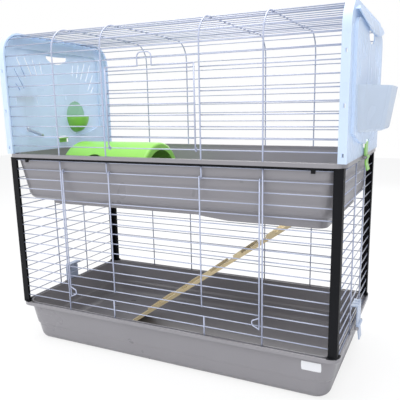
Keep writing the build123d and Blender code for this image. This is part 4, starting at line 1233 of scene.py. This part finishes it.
@dataclass
class Studio:
    """Camera, lamps, floor and sky of the picture. A lamp is a name, a place, a size and a power."""

    eye: Point = (0.6995, -1.3653, 0.7235)
    yaw: float = 25.223
    pitch: float = 11.704
    roll: float = -0.926
    focal_px: float = 504.66
    centre_px: tuple[float, float] = (211.41, 212.19)
    frame_px: float = 400.0
    sensor: float = 36.0
    clip: Span = (0.05, 60.0)
    aim: Point = (0.0, 0.0, 0.5)
    sky_tint: Colour = (0.93, 0.95, 1.0)
    sky_strength: float = 0.62
    floor_half: float = 6.0
    floor_tint: Colour = (0.9, 0.9, 0.9)
    floor_rough: float = 0.6
    floor_glow: float = 0.8
    lamps: list[tuple[str, Point, float, float]] = field(default_factory=lambda: [
        ("key", (1.6, -2.6, 2.7), 1.8, 40.0),
        ("fill", (-2.6, -1.8, 1.6), 2.2, 28.0),
        ("top", (0.0, -0.2, 3.2), 2.6, 92.0),
        ("back", (-0.6, 2.8, 1.8), 2.2, 26.0),
    ])

    def camera(self) -> None:
        """Set the camera at the photograph's view."""
        yaw, pitch, roll = (math.radians(v) for v in (self.yaw, self.pitch, self.roll))
        level = math.cos(pitch)
        ahead = Vector((-math.sin(yaw) * level, math.cos(yaw) * level, -math.sin(pitch)))
        right = Vector((math.cos(yaw), math.sin(yaw), 0.0))
        up = right.cross(ahead)
        right_rolled = math.cos(roll) * right + math.sin(roll) * up
        up_rolled = -math.sin(roll) * right + math.cos(roll) * up
        data = bpy.data.cameras.new("camera")
        data.sensor_width = self.sensor
        data.lens = self.focal_px * self.sensor / self.frame_px
        data.shift_x = (self.frame_px / 2 - self.centre_px[0]) / self.frame_px
        data.shift_y = (self.centre_px[1] - self.frame_px / 2) / self.frame_px
        data.clip_start, data.clip_end = self.clip
        made = bpy.data.objects.new("camera", data)
        made.matrix_world = Matrix((
            (right_rolled.x, up_rolled.x, -ahead.x, self.eye[0]),
            (right_rolled.y, up_rolled.y, -ahead.y, self.eye[1]),
            (right_rolled.z, up_rolled.z, -ahead.z, self.eye[2]),
            (0, 0, 0, 1)))
        bpy.context.scene.collection.objects.link(made)
        bpy.context.scene.camera = made

    def light(self) -> None:
        """Hang the soft lamps round the cage."""
        for name, place, size, power in self.lamps:
            data = bpy.data.lights.new(name, "AREA")
            data.shape = "SQUARE"
            data.size = size
            data.energy = power
            made = bpy.data.objects.new(name, data)
            made.location = place
            aim = Vector(self.aim) - Vector(place)
            made.rotation_euler = aim.to_track_quat("-Z", "Y").to_euler()
            bpy.context.scene.collection.objects.link(made)

    def surround(self) -> None:
        """Hang the sky, white where it is seen and softer as a light, and lay the floor."""
        world = bpy.data.worlds.new("sky")
        bpy.context.scene.world = world
        world.use_nodes = True
        tree = world.node_tree
        tree.nodes.clear()
        out = tree.nodes.new("ShaderNodeOutputWorld")
        path = tree.nodes.new("ShaderNodeLightPath")
        seen = tree.nodes.new("ShaderNodeMath")
        seen.operation = "MAXIMUM"
        tree.links.new(path.outputs["Is Camera Ray"], seen.inputs[0])
        also = tree.nodes.new("ShaderNodeMath")
        also.operation = "MAXIMUM"
        tree.links.new(path.outputs["Is Glossy Ray"], also.inputs[0])
        tree.links.new(path.outputs["Is Transmission Ray"], also.inputs[1])
        tree.links.new(also.outputs[0], seen.inputs[1])
        soft = tree.nodes.new("ShaderNodeBackground")
        soft.inputs[0].default_value = (*self.sky_tint, 1.0)
        soft.inputs[1].default_value = self.sky_strength
        white = tree.nodes.new("ShaderNodeBackground")
        white.inputs[0].default_value = (*WHITE, 1.0)
        white.inputs[1].default_value = 1.0
        mix = tree.nodes.new("ShaderNodeMixShader")
        tree.links.new(seen.outputs[0], mix.inputs[0])
        tree.links.new(soft.outputs[0], mix.inputs[1])
        tree.links.new(white.outputs[0], mix.inputs[2])
        tree.links.new(mix.outputs[0], out.inputs[0])
        self.floor()

    def floor(self) -> None:
        """Lay the floor, which shows white and keeps the cage's soft shadow."""
        data = bpy.data.meshes.new("floor")
        half = self.floor_half
        corners = [(-half, -half, 0), (half, -half, 0), (half, half, 0), (-half, half, 0)]
        data.from_pydata(corners, [], [(0, 1, 2, 3)])
        b = Board("floor_white")
        b.dress(Base_Color=self.floor_tint, Roughness=self.floor_rough)
        path = b.node("ShaderNodeLightPath", {})
        glow = b.node("ShaderNodeEmission", {}, WHITE, 1.0)
        share = Expr(b, path.outputs["Is Camera Ray"]) * self.floor_glow
        mixed = b.node("ShaderNodeMixShader", {}, share, b.shader.outputs[0], glow.outputs[0])
        b.tree.links.new(mixed.outputs[0], b.output.inputs[0])
        data.materials.append(b.material)
        made = bpy.data.objects.new("floor", data)
        bpy.context.scene.collection.objects.link(made)


def main() -> None:
    """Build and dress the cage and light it."""
    logging.basicConfig(level=logging.INFO, format="%(message)s")
    bpy.context.scene.view_settings.view_transform = "Standard"
    palette = Palette()
    shop = WireShop(palette)
    gauge = WireGauge()
    LowerStorey(gauge).build(shop)
    UpperStorey(gauge).build(shop)
    Doors(gauge).build(shop)
    BareLabel().build(palette)
    for row in frame["record"]["subparts"]:
        finish = Finish(row["material_slot"])
        if finish is not Finish.WIRE:
            palette.paint(finish, row["node"])
    studio = Studio()
    studio.surround()
    studio.light()
    studio.camera()


if __name__ == "__main__":
    main()
